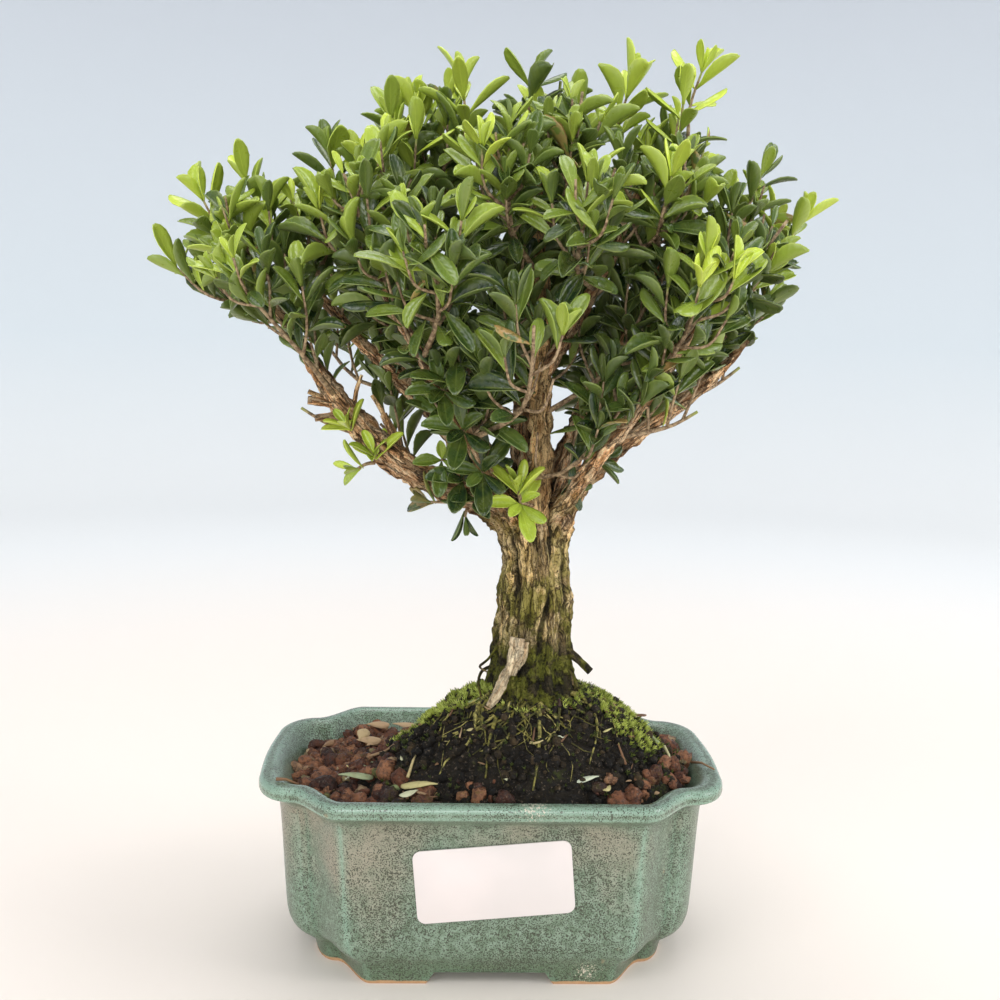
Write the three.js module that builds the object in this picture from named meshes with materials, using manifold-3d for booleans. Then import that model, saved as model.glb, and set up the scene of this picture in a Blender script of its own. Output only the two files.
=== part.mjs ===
// A harland boxwood bonsai in its glazed pot. Millimetres, +Z up, the pot's front faces -Y.
// The tree and pot are laid out round the pot's centre, with the feet at height zero.
// The finished group is then moved so that the middle of its base box is the origin.
import * as THREE from "three";
import { mergeVertices } from "three/addons/utils/BufferGeometryUtils.js";
import Module from "manifold-3d";

const wasm = await Module();
wasm.setup();

// Clearance between two pieces that touch
const GAP = 0.3;

// The pot: a rectangle with stepped-in corners, a rolled lip and four corner feet
const RIM_HALF_WIDTH = 62.6;
const RIM_HALF_DEPTH = 43.4;
const RIM_HEIGHT = 52.1;
const CORNER_STEP = 12.1;
const CORNER_RUN_SHARE = 0.58;
const CORNER_DEPTH = 14;
const SIDE_BOW = 0.8;
const LEAST_FLAT = 2;
const STEP_SEGMENTS = 4;
const CORNER_SEGMENTS = 3;
// Each row is a height, its inset across the width and the depth, and its panel's half width
const PANEL_FOOT = [16, 6.1, 7.9, 36.4];
const PANEL_HEAD = [41, 4.9, 6.8, 37.6];
const POT_OUTSIDE = [
  [0, 14.2, 11.2, 31],
  [5.4, 13, 10.6, 31.6],
  [8, 8.4, 8.9, 34.9],
  [11, 6.6, 8.2, 36],
  PANEL_FOOT,
  PANEL_HEAD,
  [45.5, 4.2, 5.8, 38],
  [48, 1.6, 1.6, 38.6],
  [49.2, 0, 0, 38.8],
  [51.2, 0, 0, 38.8],
  [RIM_HEIGHT, 1, 1, 38.6],
];
const POT_INSIDE = [
  [RIM_HEIGHT, 4.4, 4.4, 37.4],
  [46.5, 8, 8.2, 35.8],
  [41, 9.4, 10.8, 34.6],
  [14, 11, 12.2, 33],
  [8.2, 17, 17, 29],
];
const FLOOR_TOP = 8.2;
const UNDERSIDE = 4;
const RECESS_HALF = [28.5, 24.2];
const FOOT_ARCH_HEIGHT = 3.3;
const FRONT_ARCH_HALF = [16.6, 14.4];
const SIDE_ARCH_HALF = [9.4, 7.4];
const DRAIN_RADIUS = 6;
const DRAIN_OFFSET = 24;

// The mesh screens that keep the soil in over the drain holes
const SCREEN_SIZE = 20;
const SCREEN_THICK = 1.2;
const SCREEN_HOLE = 4.5;
const SCREEN_PITCH = 6;

// The blank paper label on the front panel
const LABEL_WIDTH = 40.5;
const LABEL_HEIGHT = 19.8;
const LABEL_CORNER = 2.2;
const LABEL_THICK = 0.4;
const LABEL_TILT = THREE.MathUtils.degToRad(5);
const LABEL_CENTRE = [0.6, 29.8];

// The soil, which rises from near the rim to a mound round the trunk
const SOIL_LEVEL = 47;
const MOUND_CENTRE = [11.5, -4];
const MOUND_HEIGHT = 24;
const MOUND_INNER = 12;
const MOUND_OUTER = [52, 39];
const SOIL_RINGS = 5;
const GRAIN_COUNT = 12;
const GRAIN_RADIUS = [1.5, 2.5];

// The trunk: height, centre x, centre y and radius, from inside the soil to its crown
const TRUNK = [
  [38, 11.6, -4, 9],
  [58, 11.6, -4, 12.5],
  [66, 11.5, -4.2, 14.4],
  [73, 11.3, -4.6, 13.2],
  [80, 11, -5, 10.9],
  [90, 10.9, -5.2, 9.8],
  [103, 11, -5.4, 9.1],
  [113, 10.9, -5.4, 9.2],
  [119, 10.4, -5.4, 10.4],
  [124, 10.2, -5, 8.4],
];
const TRUNK_SIDES = 18;
const FLUTE_COUNT = 6;
const FLUTE_DEPTH = 0.11;

// The limbs: points x, y, z and radius, read off the photograph and spread to all sides
const LIMBS = {
  leftLow: [
    [6, -6, 117, 5.2], [-3, -9, 124, 4.3], [-15, -12, 129, 3.8], [-26, -14, 135, 3.5],
    [-35, -15, 143, 3], [-44, -15, 154, 2.4], [-52, -15, 166, 1.5], [-60, -13, 178, 1.1],
  ],
  leftCut: [
    [6, -2, 118, 5.4], [-4, 4, 133, 4.5], [-14, 7, 146, 4.1], [-25, 8, 160, 3.6],
    [-34, 8, 175.5, 3.1],
  ],
  leftThin: [
    [-10, 6, 141, 2.2], [-21, -2, 151, 1.9], [-34, -5, 163, 1.7], [-46, -6, 176, 1.4],
    [-58, -6, 190, 1],
  ],
  leftUp: [
    [-13, 7, 145, 2.8], [-18, 4, 162, 2.2], [-22, 1, 182, 1.7], [-24, -1, 204, 1.1],
  ],
  frontStem: [
    [10, -11, 116, 3.6], [11.5, -14, 134, 2.8], [11, -15, 152, 2.5], [11.5, -16, 168, 2.1],
    [10, -15, 188, 1.6], [9, -14, 210, 1.1],
  ],
  frontFork: [
    [11.3, -15, 158, 1.9], [19, -21, 172, 1.6], [27, -26, 188, 1.3], [33, -29, 204, 1],
  ],
  rightLow: [
    [15, -6, 118, 4], [24, -8, 131, 2.9], [33, -10, 140, 2.5], [45, -11, 149, 2.1],
    [57, -12, 159, 1.7], [68, -12, 171, 1.2],
  ],
  rightMid: [
    [14, -2, 119, 4], [21, 4, 138, 3.2], [29, 7, 156, 2.6], [38, 8, 174, 2.1],
    [47, 7, 192, 1.6], [53, 5, 210, 1.1],
  ],
  centreBack: [
    [10, 0, 118, 4.2], [8, 10, 140, 3.3], [9, 17, 162, 2.7], [12, 21, 184, 2.1],
    [14, 22, 206, 1.3],
  ],
  backLeft: [
    [6, 0, 118, 3.8], [-3, 14, 134, 3], [-14, 26, 150, 2.4], [-26, 35, 167, 1.8],
    [-38, 40, 184, 1.2],
  ],
  backRight: [
    [14, 0, 118, 3.8], [22, 16, 134, 3], [31, 28, 150, 2.4], [41, 37, 167, 1.8],
    [50, 42, 184, 1.2],
  ],
  frontLeft: [
    [6, -9, 117, 3.4], [-2, -22, 131, 2.5], [-10, -33, 146, 2], [-19, -42, 162, 1.6],
    [-28, -47, 178, 1.1],
  ],
  frontRight: [
    [14, -9, 118, 3.4], [22, -22, 132, 2.5], [31, -33, 147, 2], [41, -40, 163, 1.6],
    [50, -44, 180, 1.1],
  ],
};
const LIMB_SIDES = 5;
const ROOT_SIDES = 4;

// Dead stubs on the limbs: root point, tip point and radius
const STUBS = [
  [[-40, -15, 149], [-49, -17, 150.5], 1.5],
  [[-38, -15, 146.5], [-47, -18, 146], 1.2],
  [[-25, -13, 136], [-30, -13, 147], 1.3],
  [[16, -8, 85], [28.5, -10, 76.5], 1.7],
];

// Surface roots, which run from the trunk's base down over the mound
const ROOT_COUNT = 8;
const ROOT_LENGTH = [15, 27];
const ROOT_RADIUS = 1.9;

// The crown: sprays sit on a shell round the growth point, and some fill its inside
const GROWTH_POINT = [2, -4, 128];
const CROWN_RADIUS = [118, 90];
const CROWN_DEPTH_RATIO = 0.84;
const CROWN_SHOULDER = THREE.MathUtils.degToRad(50);
const CROWN_EDGE = THREE.MathUtils.degToRad(65);
const SHELL_SPRAYS = 33;
const INNER_SPRAYS = 9;
const SHELL_PAIRS = 5;
const INNER_PAIRS = 3;
const LEAFY_LENGTH = 27;
const TIP_MARGIN = 7;
const FORK_REACH = 12;
const TWIG_RADIUS = [1.3, 1.1, 0.85];
const TWIG_SIDES = 4;
const LEAF_LENGTH = [11.5, 14.5];
const LEAF_WIDTH_RATIO = 0.38;
const LEAF_THICK = 0.6;
// Rows along a leaf: share of its length, share of its width
const LEAF_ROWS = [[0.62, 1], [0.97, 0.5]];
const LEAF_DROOP = THREE.MathUtils.degToRad(24);
const CROWN_SEED = 11;

// Fallen leaves on the soil: x, y, turn and length
const FALLEN_LEAVES = [
  [-41, -19, 0.5, 11],
  [-14, -29, 2.6, 12],
  [-36, 12, 1.2, 10],
];
const SETTLE_STEP = 0.1;

const COLOURS = {
  glaze: { color: 0x6f9480, roughness: 0.3, metalness: 0 },
  screen: { color: 0x2b2d2c, roughness: 0.7, metalness: 0 },
  paper: { color: 0xf2ede9, roughness: 0.85, metalness: 0 },
  soil: { color: 0x4d3226, roughness: 0.95, metalness: 0 },
  bark: { color: 0x8a7752, roughness: 0.9, metalness: 0 },
  matureLeaf: { color: 0x35592a, roughness: 0.45, metalness: 0 },
  youngLeaf: { color: 0x8cb52e, roughness: 0.5, metalness: 0 },
  fallenLeaf: { color: 0xd8cba0, roughness: 0.8, metalness: 0 },
};

// Returns a repeatable stream of numbers from 0 to 1
function randomFrom(seed) {
  let state = seed >>> 0;
  return () => {
    state = (state + 0x6d2b79f5) >>> 0;
    let mixed = Math.imul(state ^ (state >>> 15), state | 1);
    mixed ^= mixed + Math.imul(mixed ^ (mixed >>> 7), mixed | 61);
    return ((mixed ^ (mixed >>> 14)) >>> 0) / 4294967296;
  };
}

const lerp = THREE.MathUtils.lerp;
const vector = (values) => new THREE.Vector3(...values.slice(0, 3));

// Solids: a closed geometry goes into the boolean library and comes back from it

function toSolid(geometry) {
  const bare = geometry.clone();
  bare.deleteAttribute("normal");
  bare.deleteAttribute("uv");
  const merged = mergeVertices(bare, 1e-5);
  return new wasm.Manifold(new wasm.Mesh({
    numProp: 3,
    vertProperties: new Float32Array(merged.attributes.position.array),
    triVerts: new Uint32Array(merged.index.array),
  }));
}

function toGeometry(solid) {
  const mesh = solid.getMesh();
  const geometry = new THREE.BufferGeometry();
  geometry.setAttribute("position", new THREE.BufferAttribute(mesh.vertProperties, 3));
  geometry.setIndex(new THREE.BufferAttribute(mesh.triVerts, 1));
  geometry.computeVertexNormals();
  return geometry;
}

function boxOf(solid) {
  const { min, max } = solid.boundingBox();
  return new THREE.Box3(vector(min), vector(max));
}

function largestPiece(solid) {
  return solid.decompose().reduce((best, piece) => (piece.volume() > best.volume() ? piece : best));
}

function union(solids) {
  return solids.reduce((sum, solid) => sum.add(solid));
}

// Skins a stack of equal rings of points and closes both ends, as one geometry
function loft(rings) {
  const sides = rings[0].length;
  const positions = rings.flat().flatMap((point) => [point.x, point.y, point.z]);
  const triangles = [];
  for (let ring = 0; ring < rings.length - 1; ring += 1) {
    for (let side = 0; side < sides; side += 1) {
      const next = (side + 1) % sides;
      const a = ring * sides + side;
      const b = ring * sides + next;
      triangles.push(a, b, b + sides, a, b + sides, a + sides);
    }
  }
  const ends = [[rings[0], 0, true], [rings[rings.length - 1], (rings.length - 1) * sides, false]];
  for (const [ring, first, flipped] of ends) {
    const faces = THREE.ShapeUtils.triangulateShape(ring.map((point) => flatten(ring, point)), []);
    for (const [a, b, c] of faces) {
      const order = flipped ? [a, c, b] : [a, b, c];
      triangles.push(...order.map((corner) => first + corner));
    }
  }
  const geometry = new THREE.BufferGeometry();
  geometry.setAttribute("position", new THREE.Float32BufferAttribute(positions, 3));
  geometry.setIndex(triangles);
  return geometry;
}

// A ring's point in the ring's own plane, seen so that the ring runs anticlockwise
function flatten(ring, point) {
  const centre = new THREE.Vector3();
  ring.forEach((each) => centre.addScaledVector(each, 1 / ring.length));
  const normal = new THREE.Vector3();
  ring.forEach((each, index) => {
    const next = ring[(index + 1) % ring.length];
    normal.add(each.clone().sub(centre).cross(next.clone().sub(centre)));
  });
  normal.normalize();
  const across = ring[0].clone().sub(centre).normalize();
  const along = normal.clone().cross(across);
  const offset = point.clone().sub(centre);
  return new THREE.Vector2(offset.dot(across), offset.dot(along));
}

// A direction square to the given one
function squareTo(along) {
  const helper = Math.abs(along.y) < 0.8 ? new THREE.Vector3(0, 1, 0) : new THREE.Vector3(1, 0, 0);
  return helper.cross(along).normalize();
}

// A tapered branch through points, with a radius at each point and a facet facing firstSide
function branch(points, radii, sides, firstSide) {
  const start = points[1].clone().sub(points[0]).normalize();
  const across = firstSide ? firstSide.clone() : squareTo(start);
  const rings = points.map((point, index) => {
    const before = points[Math.max(index - 1, 0)];
    const after = points[Math.min(index + 1, points.length - 1)];
    const along = after.clone().sub(before).normalize();
    across.addScaledVector(along, -across.dot(along)).normalize();
    const up = along.clone().cross(across);
    return Array.from({ length: sides }, (_, side) => {
      const turn = ((side + 0.5) / sides) * 2 * Math.PI;
      return point.clone()
        .addScaledVector(across, radii[index] * Math.cos(turn))
        .addScaledVector(up, radii[index] * Math.sin(turn));
    });
  });
  return loft(rings);
}

// The pot's plan outline at an inset from the rim, anticlockwise from the front panel's end
function potOutline(insetX, insetY, panel) {
  const halfWidth = RIM_HALF_WIDTH - insetX;
  const halfDepth = RIM_HALF_DEPTH - insetY;
  const shoulder = halfDepth - CORNER_STEP;
  const run = CORNER_RUN_SHARE * (halfWidth - panel);
  const radiusX = halfWidth - panel - run;
  const radiusY = Math.min(CORNER_DEPTH, shoulder - LEAST_FLAT);
  const quarter = [];
  for (let step = 0; step <= STEP_SEGMENTS; step += 1) {
    const share = step / STEP_SEGMENTS;
    const drop = CORNER_STEP * (1 - Math.cos(Math.PI * share)) / 2;
    quarter.push([panel + run * share, -halfDepth + drop]);
  }
  for (let step = 1; step <= CORNER_SEGMENTS; step += 1) {
    const turn = (step / CORNER_SEGMENTS) * Math.PI / 2;
    quarter.push([
      halfWidth - SIDE_BOW - (radiusX - SIDE_BOW) * (1 - Math.sin(turn)),
      -shoulder + radiusY * (1 - Math.cos(turn)),
    ]);
  }
  const backQuarter = quarter.map(([x, y]) => [x, -y]).reverse();
  const right = [...quarter, [halfWidth, 0], ...backQuarter];
  return [...right, ...right.map(([x, y]) => [-x, -y])];
}

const outlineRing = (z, ...plan) => (
  potOutline(...plan).map(([x, y]) => new THREE.Vector3(x, y, z))
);

// A trapezoid channel through the foot band, along Y or along X
function footArch(halfWidths, alongX) {
  const [bottom, top] = halfWidths;
  const slope = (bottom - top) / FOOT_ARCH_HEIGHT;
  const section = new THREE.Shape([
    new THREE.Vector2(-bottom - slope, -1),
    new THREE.Vector2(bottom + slope, -1),
    new THREE.Vector2(top, FOOT_ARCH_HEIGHT),
    new THREE.Vector2(-top, FOOT_ARCH_HEIGHT),
  ]);
  const length = 2 * RIM_HALF_WIDTH;
  const geometry = new THREE.ExtrudeGeometry(section, { depth: length, bevelEnabled: false });
  geometry.translate(0, 0, -length / 2);
  geometry.rotateX(Math.PI / 2);
  if (alongX) {
    geometry.rotateZ(Math.PI / 2);
  }
  return toSolid(geometry);
}

function drainHole(x) {
  const geometry = new THREE.CylinderGeometry(DRAIN_RADIUS, DRAIN_RADIUS, 2 * FLOOR_TOP, 12);
  geometry.rotateX(Math.PI / 2);
  geometry.translate(x, 0, FLOOR_TOP / 2);
  return toSolid(geometry);
}

function makePot() {
  const rings = [...POT_OUTSIDE, ...POT_INSIDE].map((row) => outlineRing(...row));
  const [recessX, recessY] = RECESS_HALF;
  const cuts = [
    toSolid(new THREE.BoxGeometry(2 * recessX, 2 * recessY, 2 * UNDERSIDE)),
    footArch(FRONT_ARCH_HALF, false),
    footArch(SIDE_ARCH_HALF, true),
    drainHole(-DRAIN_OFFSET),
    drainHole(DRAIN_OFFSET),
  ];
  return cuts.reduce((pot, cut) => pot.subtract(cut), toSolid(loft(rings)));
}

function makeScreen(x) {
  const centreZ = FLOOR_TOP + GAP + SCREEN_THICK / 2;
  const sheet = toSolid(new THREE.BoxGeometry(SCREEN_SIZE, SCREEN_SIZE, SCREEN_THICK));
  const holes = [-0.5, 0.5].flatMap((row) => [-0.5, 0.5].map((column) => (
    toSolid(new THREE.BoxGeometry(SCREEN_HOLE, SCREEN_HOLE, 2 * SCREEN_THICK)
      .translate(column * SCREEN_PITCH, row * SCREEN_PITCH, 0))
  )));
  return holes.reduce((screen, hole) => screen.subtract(hole), sheet).translate([x, 0, centreZ]);
}

// The label lies on the front panel, which leans back a little from foot to lip
function makeLabel() {
  const [halfWidth, halfHeight, corner] = [LABEL_WIDTH / 2, LABEL_HEIGHT / 2, LABEL_CORNER];
  const shape = new THREE.Shape();
  shape.absarc(halfWidth - corner, halfHeight - corner, corner, 0, Math.PI / 2);
  shape.absarc(corner - halfWidth, halfHeight - corner, corner, Math.PI / 2, Math.PI);
  shape.absarc(corner - halfWidth, corner - halfHeight, corner, Math.PI, 1.5 * Math.PI);
  shape.absarc(halfWidth - corner, corner - halfHeight, corner, 1.5 * Math.PI, 2 * Math.PI);
  const settings = { depth: LABEL_THICK, bevelEnabled: false, curveSegments: 2 };
  const geometry = new THREE.ExtrudeGeometry(shape, settings);
  const [footZ, , footInset] = PANEL_FOOT;
  const [headZ, , headInset] = PANEL_HEAD;
  const lean = Math.atan2(footInset - headInset, headZ - footZ);
  const [x, z] = LABEL_CENTRE;
  const wallY = lerp(footInset, headInset, (z - footZ) / (headZ - footZ)) - RIM_HALF_DEPTH;
  geometry.rotateZ(LABEL_TILT);
  geometry.rotateX(Math.PI / 2 + lean);
  geometry.translate(x, wallY - GAP, z);
  return geometry;
}

// Height of the soil's surface, without its grains
function soilHeight(x, y) {
  const away = Math.hypot(
    (x - MOUND_CENTRE[0]) / MOUND_OUTER[0],
    (y - MOUND_CENTRE[1]) / MOUND_OUTER[1],
  );
  const start = MOUND_INNER / MOUND_OUTER[0];
  const rise = 1 - THREE.MathUtils.smoothstep(away, start, 1);
  const ripple = 0.5 * Math.sin(0.55 * x + 1.3) * Math.cos(0.62 * y - 0.4);
  return SOIL_LEVEL + MOUND_HEIGHT * rise + ripple;
}

function makeSoil(woodBelow, screens) {
  const wall = POT_INSIDE.slice(1).reverse().map(([z, x, y, panel]) => (
    outlineRing(Math.max(z, FLOOR_TOP + GAP), x + GAP, y + GAP, panel - GAP)
  ));
  const edge = wall[wall.length - 1];
  const top = [];
  for (let ring = 1; ring <= SOIL_RINGS; ring += 1) {
    const share = ring / (SOIL_RINGS + 1);
    top.push(edge.map((point) => {
      const x = lerp(point.x, MOUND_CENTRE[0], share);
      const y = lerp(point.y, MOUND_CENTRE[1], share);
      return new THREE.Vector3(x, y, soilHeight(x, y));
    }));
  }
  const body = toSolid(loft([...wall, ...top]));
  const next = randomFrom(CROWN_SEED + 1);
  const grains = [];
  while (grains.length < GRAIN_COUNT) {
    const x = lerp(-50, 48, next());
    const y = lerp(-30, 26, next());
    const radius = lerp(...GRAIN_RADIUS, next());
    const turn = next() * Math.PI;
    if (Math.hypot(x - MOUND_CENTRE[0], y - MOUND_CENTRE[1]) > 32) {
      const grain = new THREE.OctahedronGeometry(radius);
      grain.rotateX(turn);
      grain.rotateZ(2 * turn);
      grain.translate(x, y, soilHeight(x, y) + 0.3 * radius);
      grains.push(toSolid(grain));
    }
  }
  const grainy = union([body, ...grains]);
  const hollows = screens.map((screen) => {
    const box = boxOf(screen).expandByScalar(GAP);
    const size = box.getSize(new THREE.Vector3());
    return toSolid(new THREE.BoxGeometry(...size).translate(...box.getCenter(new THREE.Vector3())));
  });
  return largestPiece([woodBelow, ...hollows].reduce((soil, cut) => soil.subtract(cut), grainy));
}

// The fluted trunk, thicker by grow all round
function makeTrunk(grow) {
  const rings = TRUNK.map(([z, x, y, radius], index) => (
    Array.from({ length: TRUNK_SIDES }, (_, side) => {
      const turn = (side / TRUNK_SIDES) * 2 * Math.PI;
      const flute = Math.cos(FLUTE_COUNT * turn + 0.35 * index) + 0.5 * Math.cos(9 * turn - 0.2 * index);
      const reach = radius * (1 + FLUTE_DEPTH * flute) + grow;
      const height = index === 0 ? z - grow : z;
      return new THREE.Vector3(x + reach * Math.cos(turn), y + reach * Math.sin(turn), height);
    })
  ));
  return toSolid(loft(rings));
}

function makeRoots(grow) {
  const next = randomFrom(CROWN_SEED + 2);
  return Array.from({ length: ROOT_COUNT }, (_, index) => {
    const turn = ((index + 0.6 * next()) / ROOT_COUNT) * 2 * Math.PI;
    const length = lerp(...ROOT_LENGTH, next());
    const bend = lerp(-0.5, 0.5, next());
    const shares = [0, 0.34, 0.67, 1];
    const points = shares.map((share) => {
      const reach = 9.5 + length * share;
      const angle = turn + bend * share * share;
      const x = MOUND_CENTRE[0] + reach * Math.cos(angle);
      const y = MOUND_CENTRE[1] + 0.9 * reach * Math.sin(angle);
      const lift = lerp(2.2, -0.1, share);
      return new THREE.Vector3(x, y, soilHeight(x, y) + lift);
    });
    const radii = shares.map((share) => ROOT_RADIUS * (1 - 0.62 * share) + grow);
    return toSolid(branch(points, radii, ROOT_SIDES));
  });
}

// Points along a limb at equal steps, each with the limb's radius there
function limbSamples(limb) {
  const curve = new THREE.CatmullRomCurve3(limb.map(vector));
  const steps = (limb.length - 1) * 4;
  return Array.from({ length: steps + 1 }, (_, step) => {
    const share = step / steps;
    const place = share * (limb.length - 1);
    const low = Math.min(Math.floor(place), limb.length - 2);
    return {
      point: curve.getPoint(share),
      radius: lerp(limb[low][3], limb[low + 1][3], place - low),
      share,
    };
  });
}

// Where each spray starts, which way it grows and where its branch leaves a limb
function planSprays() {
  const next = randomFrom(CROWN_SEED);
  const origin = vector(GROWTH_POINT);
  const samples = Object.values(LIMBS).flatMap(limbSamples).filter((sample) => sample.share > 0.3);
  const golden = Math.PI * (3 - Math.sqrt(5));
  const total = SHELL_SPRAYS + INNER_SPRAYS;
  return Array.from({ length: total }, (_, index) => {
    const inner = index >= SHELL_SPRAYS;
    const place = inner ? (index - SHELL_SPRAYS + 0.5) / INNER_SPRAYS : (index + 0.5) / SHELL_SPRAYS;
    const tilt = Math.acos(lerp(1, Math.cos(CROWN_EDGE), place)) + 0.05 * (next() - 0.5);
    const turn = index * golden + (inner ? 1.1 : 0.4) + 0.25 * (next() - 0.5);
    const direction = new THREE.Vector3(
      Math.sin(tilt) * Math.cos(turn),
      Math.sin(tilt) * Math.sin(turn),
      Math.cos(tilt),
    );
    const past = THREE.MathUtils.clamp((tilt - CROWN_SHOULDER) / (CROWN_EDGE - CROWN_SHOULDER), 0, 1);
    const depth = inner ? lerp(0.56, 0.68, next()) : lerp(0.93, 1, next());
    const reach = lerp(...CROWN_RADIUS, past) * depth;
    const tip = direction.clone().multiplyScalar(reach);
    tip.y *= CROWN_DEPTH_RATIO;
    tip.add(origin);
    const heading = tip.clone().sub(origin).normalize();
    heading.z += 0.25;
    heading.normalize();
    const end = tip.clone().addScaledVector(heading, -TIP_MARGIN);
    const bend = end.clone().addScaledVector(heading, -LEAFY_LENGTH);
    const fork = nearestSample(samples, bend, heading);
    const bright = !inner && next() < lerp(0.65, 0.15, place);
    const pairs = inner ? INNER_PAIRS : SHELL_PAIRS;
    return { fork, bend, end, heading, bright, pairs, roll: next() * Math.PI, seed: index };
  });
}

// The limb point that suits a spray best: close behind its bend and lower down
function nearestSample(samples, bend, heading) {
  const aim = bend.clone().addScaledVector(heading, -FORK_REACH);
  const cost = (sample) => {
    const crowding = Math.max(0, 8 - sample.point.distanceTo(bend));
    const rise = Math.max(0, 4 - (bend.z - sample.point.z));
    return sample.point.distanceTo(aim) + 4 * crowding + 3 * rise;
  };
  return samples.reduce((best, sample) => (cost(sample) < cost(best) ? sample : best)).point;
}

function makeWood() {
  const limbs = Object.values(LIMBS).map((limb) => (
    toSolid(branch(limb.map(vector), limb.map((point) => point[3]), LIMB_SIDES))
  ));
  const stubs = STUBS.map(([root, tip, radius]) => (
    toSolid(branch([vector(root), vector(tip)], [radius, 0.8 * radius], 5))
  ));
  return union([makeTrunk(0), ...makeRoots(0), ...limbs, ...stubs]);
}

// A leaf's blade: narrow at its root, widest near its blunt end, arched away from the stem
function leafGeometry(root, along, face, length, grow) {
  const side = face.clone().cross(along).normalize();
  const width = (LEAF_WIDTH_RATIO * length) / 2 + grow;
  const thick = LEAF_THICK / 2 + grow;
  const rows = [[0, 0], ...LEAF_ROWS];
  const middle = [root.clone()];
  const heading = along.clone();
  for (let row = 1; row < rows.length; row += 1) {
    const step = (rows[row][0] - rows[row - 1][0]) * length;
    middle.push(middle[row - 1].clone().addScaledVector(heading, step + (row === 2 ? grow : 0)));
    heading.applyAxisAngle(side, LEAF_DROOP);
  }
  const outline = [
    [0, 0], [1, -1], [2, -1], [2, 1], [1, 1],
  ].map(([row, edge]) => middle[row].clone().addScaledVector(side, edge * width * rows[row][1]));
  const normals = [face, face, face.clone().applyAxisAngle(side, LEAF_DROOP)];
  const rowOf = [0, 1, 2, 2, 1];
  const shifted = (sign) => outline.map((point, index) => (
    point.clone().addScaledVector(normals[rowOf[index]], sign * thick)
  ));
  const corners = [...shifted(1), ...shifted(-1)];
  const faces = [[0, 1, 4], [1, 2, 3], [1, 3, 4]];
  const triangles = [];
  for (const [a, b, c] of faces) {
    triangles.push(a, b, c, a + 5, c + 5, b + 5);
  }
  for (let edge = 0; edge < 5; edge += 1) {
    const after = (edge + 1) % 5;
    triangles.push(edge, edge + 5, after + 5, edge, after + 5, after);
  }
  const geometry = new THREE.BufferGeometry();
  geometry.setAttribute("position", new THREE.Float32BufferAttribute(corners.flatMap((p) => [...p]), 3));
  geometry.setIndex(triangles);
  return geometry;
}

function firstLeafSide({ heading, roll }) {
  return squareTo(heading).applyAxisAngle(heading, roll);
}

// A spray's stem from a point on its way between the limb and its bend
function sprayTwig(spray, share, grow) {
  const start = spray.fork.clone().lerp(spray.bend, share);
  const end = spray.end.clone().addScaledVector(spray.heading, grow);
  const radii = TWIG_RADIUS.map((radius) => radius + grow);
  return toSolid(branch([start, spray.bend, end], radii, TWIG_SIDES, firstLeafSide(spray)));
}

// Shortens the stem at its foot until it stands just clear of the wood
function seatTwig(spray, wood) {
  const steps = Math.ceil(spray.fork.distanceTo(spray.bend) / SETTLE_STEP);
  for (let step = 0; step < steps; step += 1) {
    if (sprayTwig(spray, step / steps, GAP).intersect(wood).volume() === 0) {
      return sprayTwig(spray, step / steps, 0);
    }
  }
  throw new Error(`spray ${spray.seed + 1} finds no seat on its limb`);
}

// The leaves of a spray as root, direction, upper face and length, in opposite pairs
function planLeaves(spray) {
  const next = randomFrom(100 + spray.seed);
  const across = firstLeafSide(spray);
  const leaves = [];
  for (let pair = 0; pair < spray.pairs; pair += 1) {
    const share = Math.min((pair + 0.6) / (spray.pairs - 0.5), 0.97);
    const root = spray.bend.clone().lerp(spray.end, share);
    const turn = pair * Math.PI / 2 + 0.2 * (next() - 0.5);
    const opening = lerp(1.05, 0.42, share) + 0.2 * (next() - 0.5);
    for (const half of [0, Math.PI]) {
      const side = across.clone().applyAxisAngle(spray.heading, turn + half);
      const length = lerp(...LEAF_LENGTH, next());
      leaves.push({ root, side, opening, length });
    }
  }
  return leaves;
}

function leafAt(spray, leaf, twist, lift, grow) {
  const side = leaf.side.clone().applyAxisAngle(spray.heading, twist);
  const opening = leaf.opening + lift;
  const along = spray.heading.clone().multiplyScalar(Math.cos(opening))
    .addScaledVector(side, Math.sin(opening));
  const face = spray.heading.clone().multiplyScalar(Math.sin(opening))
    .addScaledVector(side, -Math.cos(opening));
  return leafGeometry(leaf.root, along, face, leaf.length, grow);
}

// Small turns that a leaf may take to stay clear of what is there already
const LEAF_SHIFTS = [[0, 0], [0.35, 0], [-0.35, 0], [0, -0.3], [0.6, -0.15], [-0.6, -0.15], [0, 0.35]];

function makeSprays(sprays, wood) {
  const twigs = sprays.map((spray) => seatTwig(spray, wood));
  const obstacles = twigs.map((solid, owner) => ({ solid, owner, box: boxOf(solid) }));
  obstacles.push({ solid: wood, owner: -1, box: boxOf(wood) });
  const parts = twigs.map((twig) => [twig]);
  sprays.forEach((spray, owner) => {
    for (const leaf of planLeaves(spray)) {
      const clear = LEAF_SHIFTS.find(([twist, lift]) => {
        const probe = toSolid(leafAt(spray, leaf, twist, lift, GAP));
        const box = boxOf(probe);
        return !obstacles.some((other) => (
          other.owner !== owner
          && other.box.intersectsBox(box)
          && probe.intersect(other.solid).volume() > 0
        ));
      });
      if (clear) {
        const solid = toSolid(leafAt(spray, leaf, ...clear, 0));
        parts[owner].push(solid);
        obstacles.push({ solid, owner, box: boxOf(solid) });
      }
    }
  });
  return parts.map((pieces) => largestPiece(union(pieces)));
}

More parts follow.
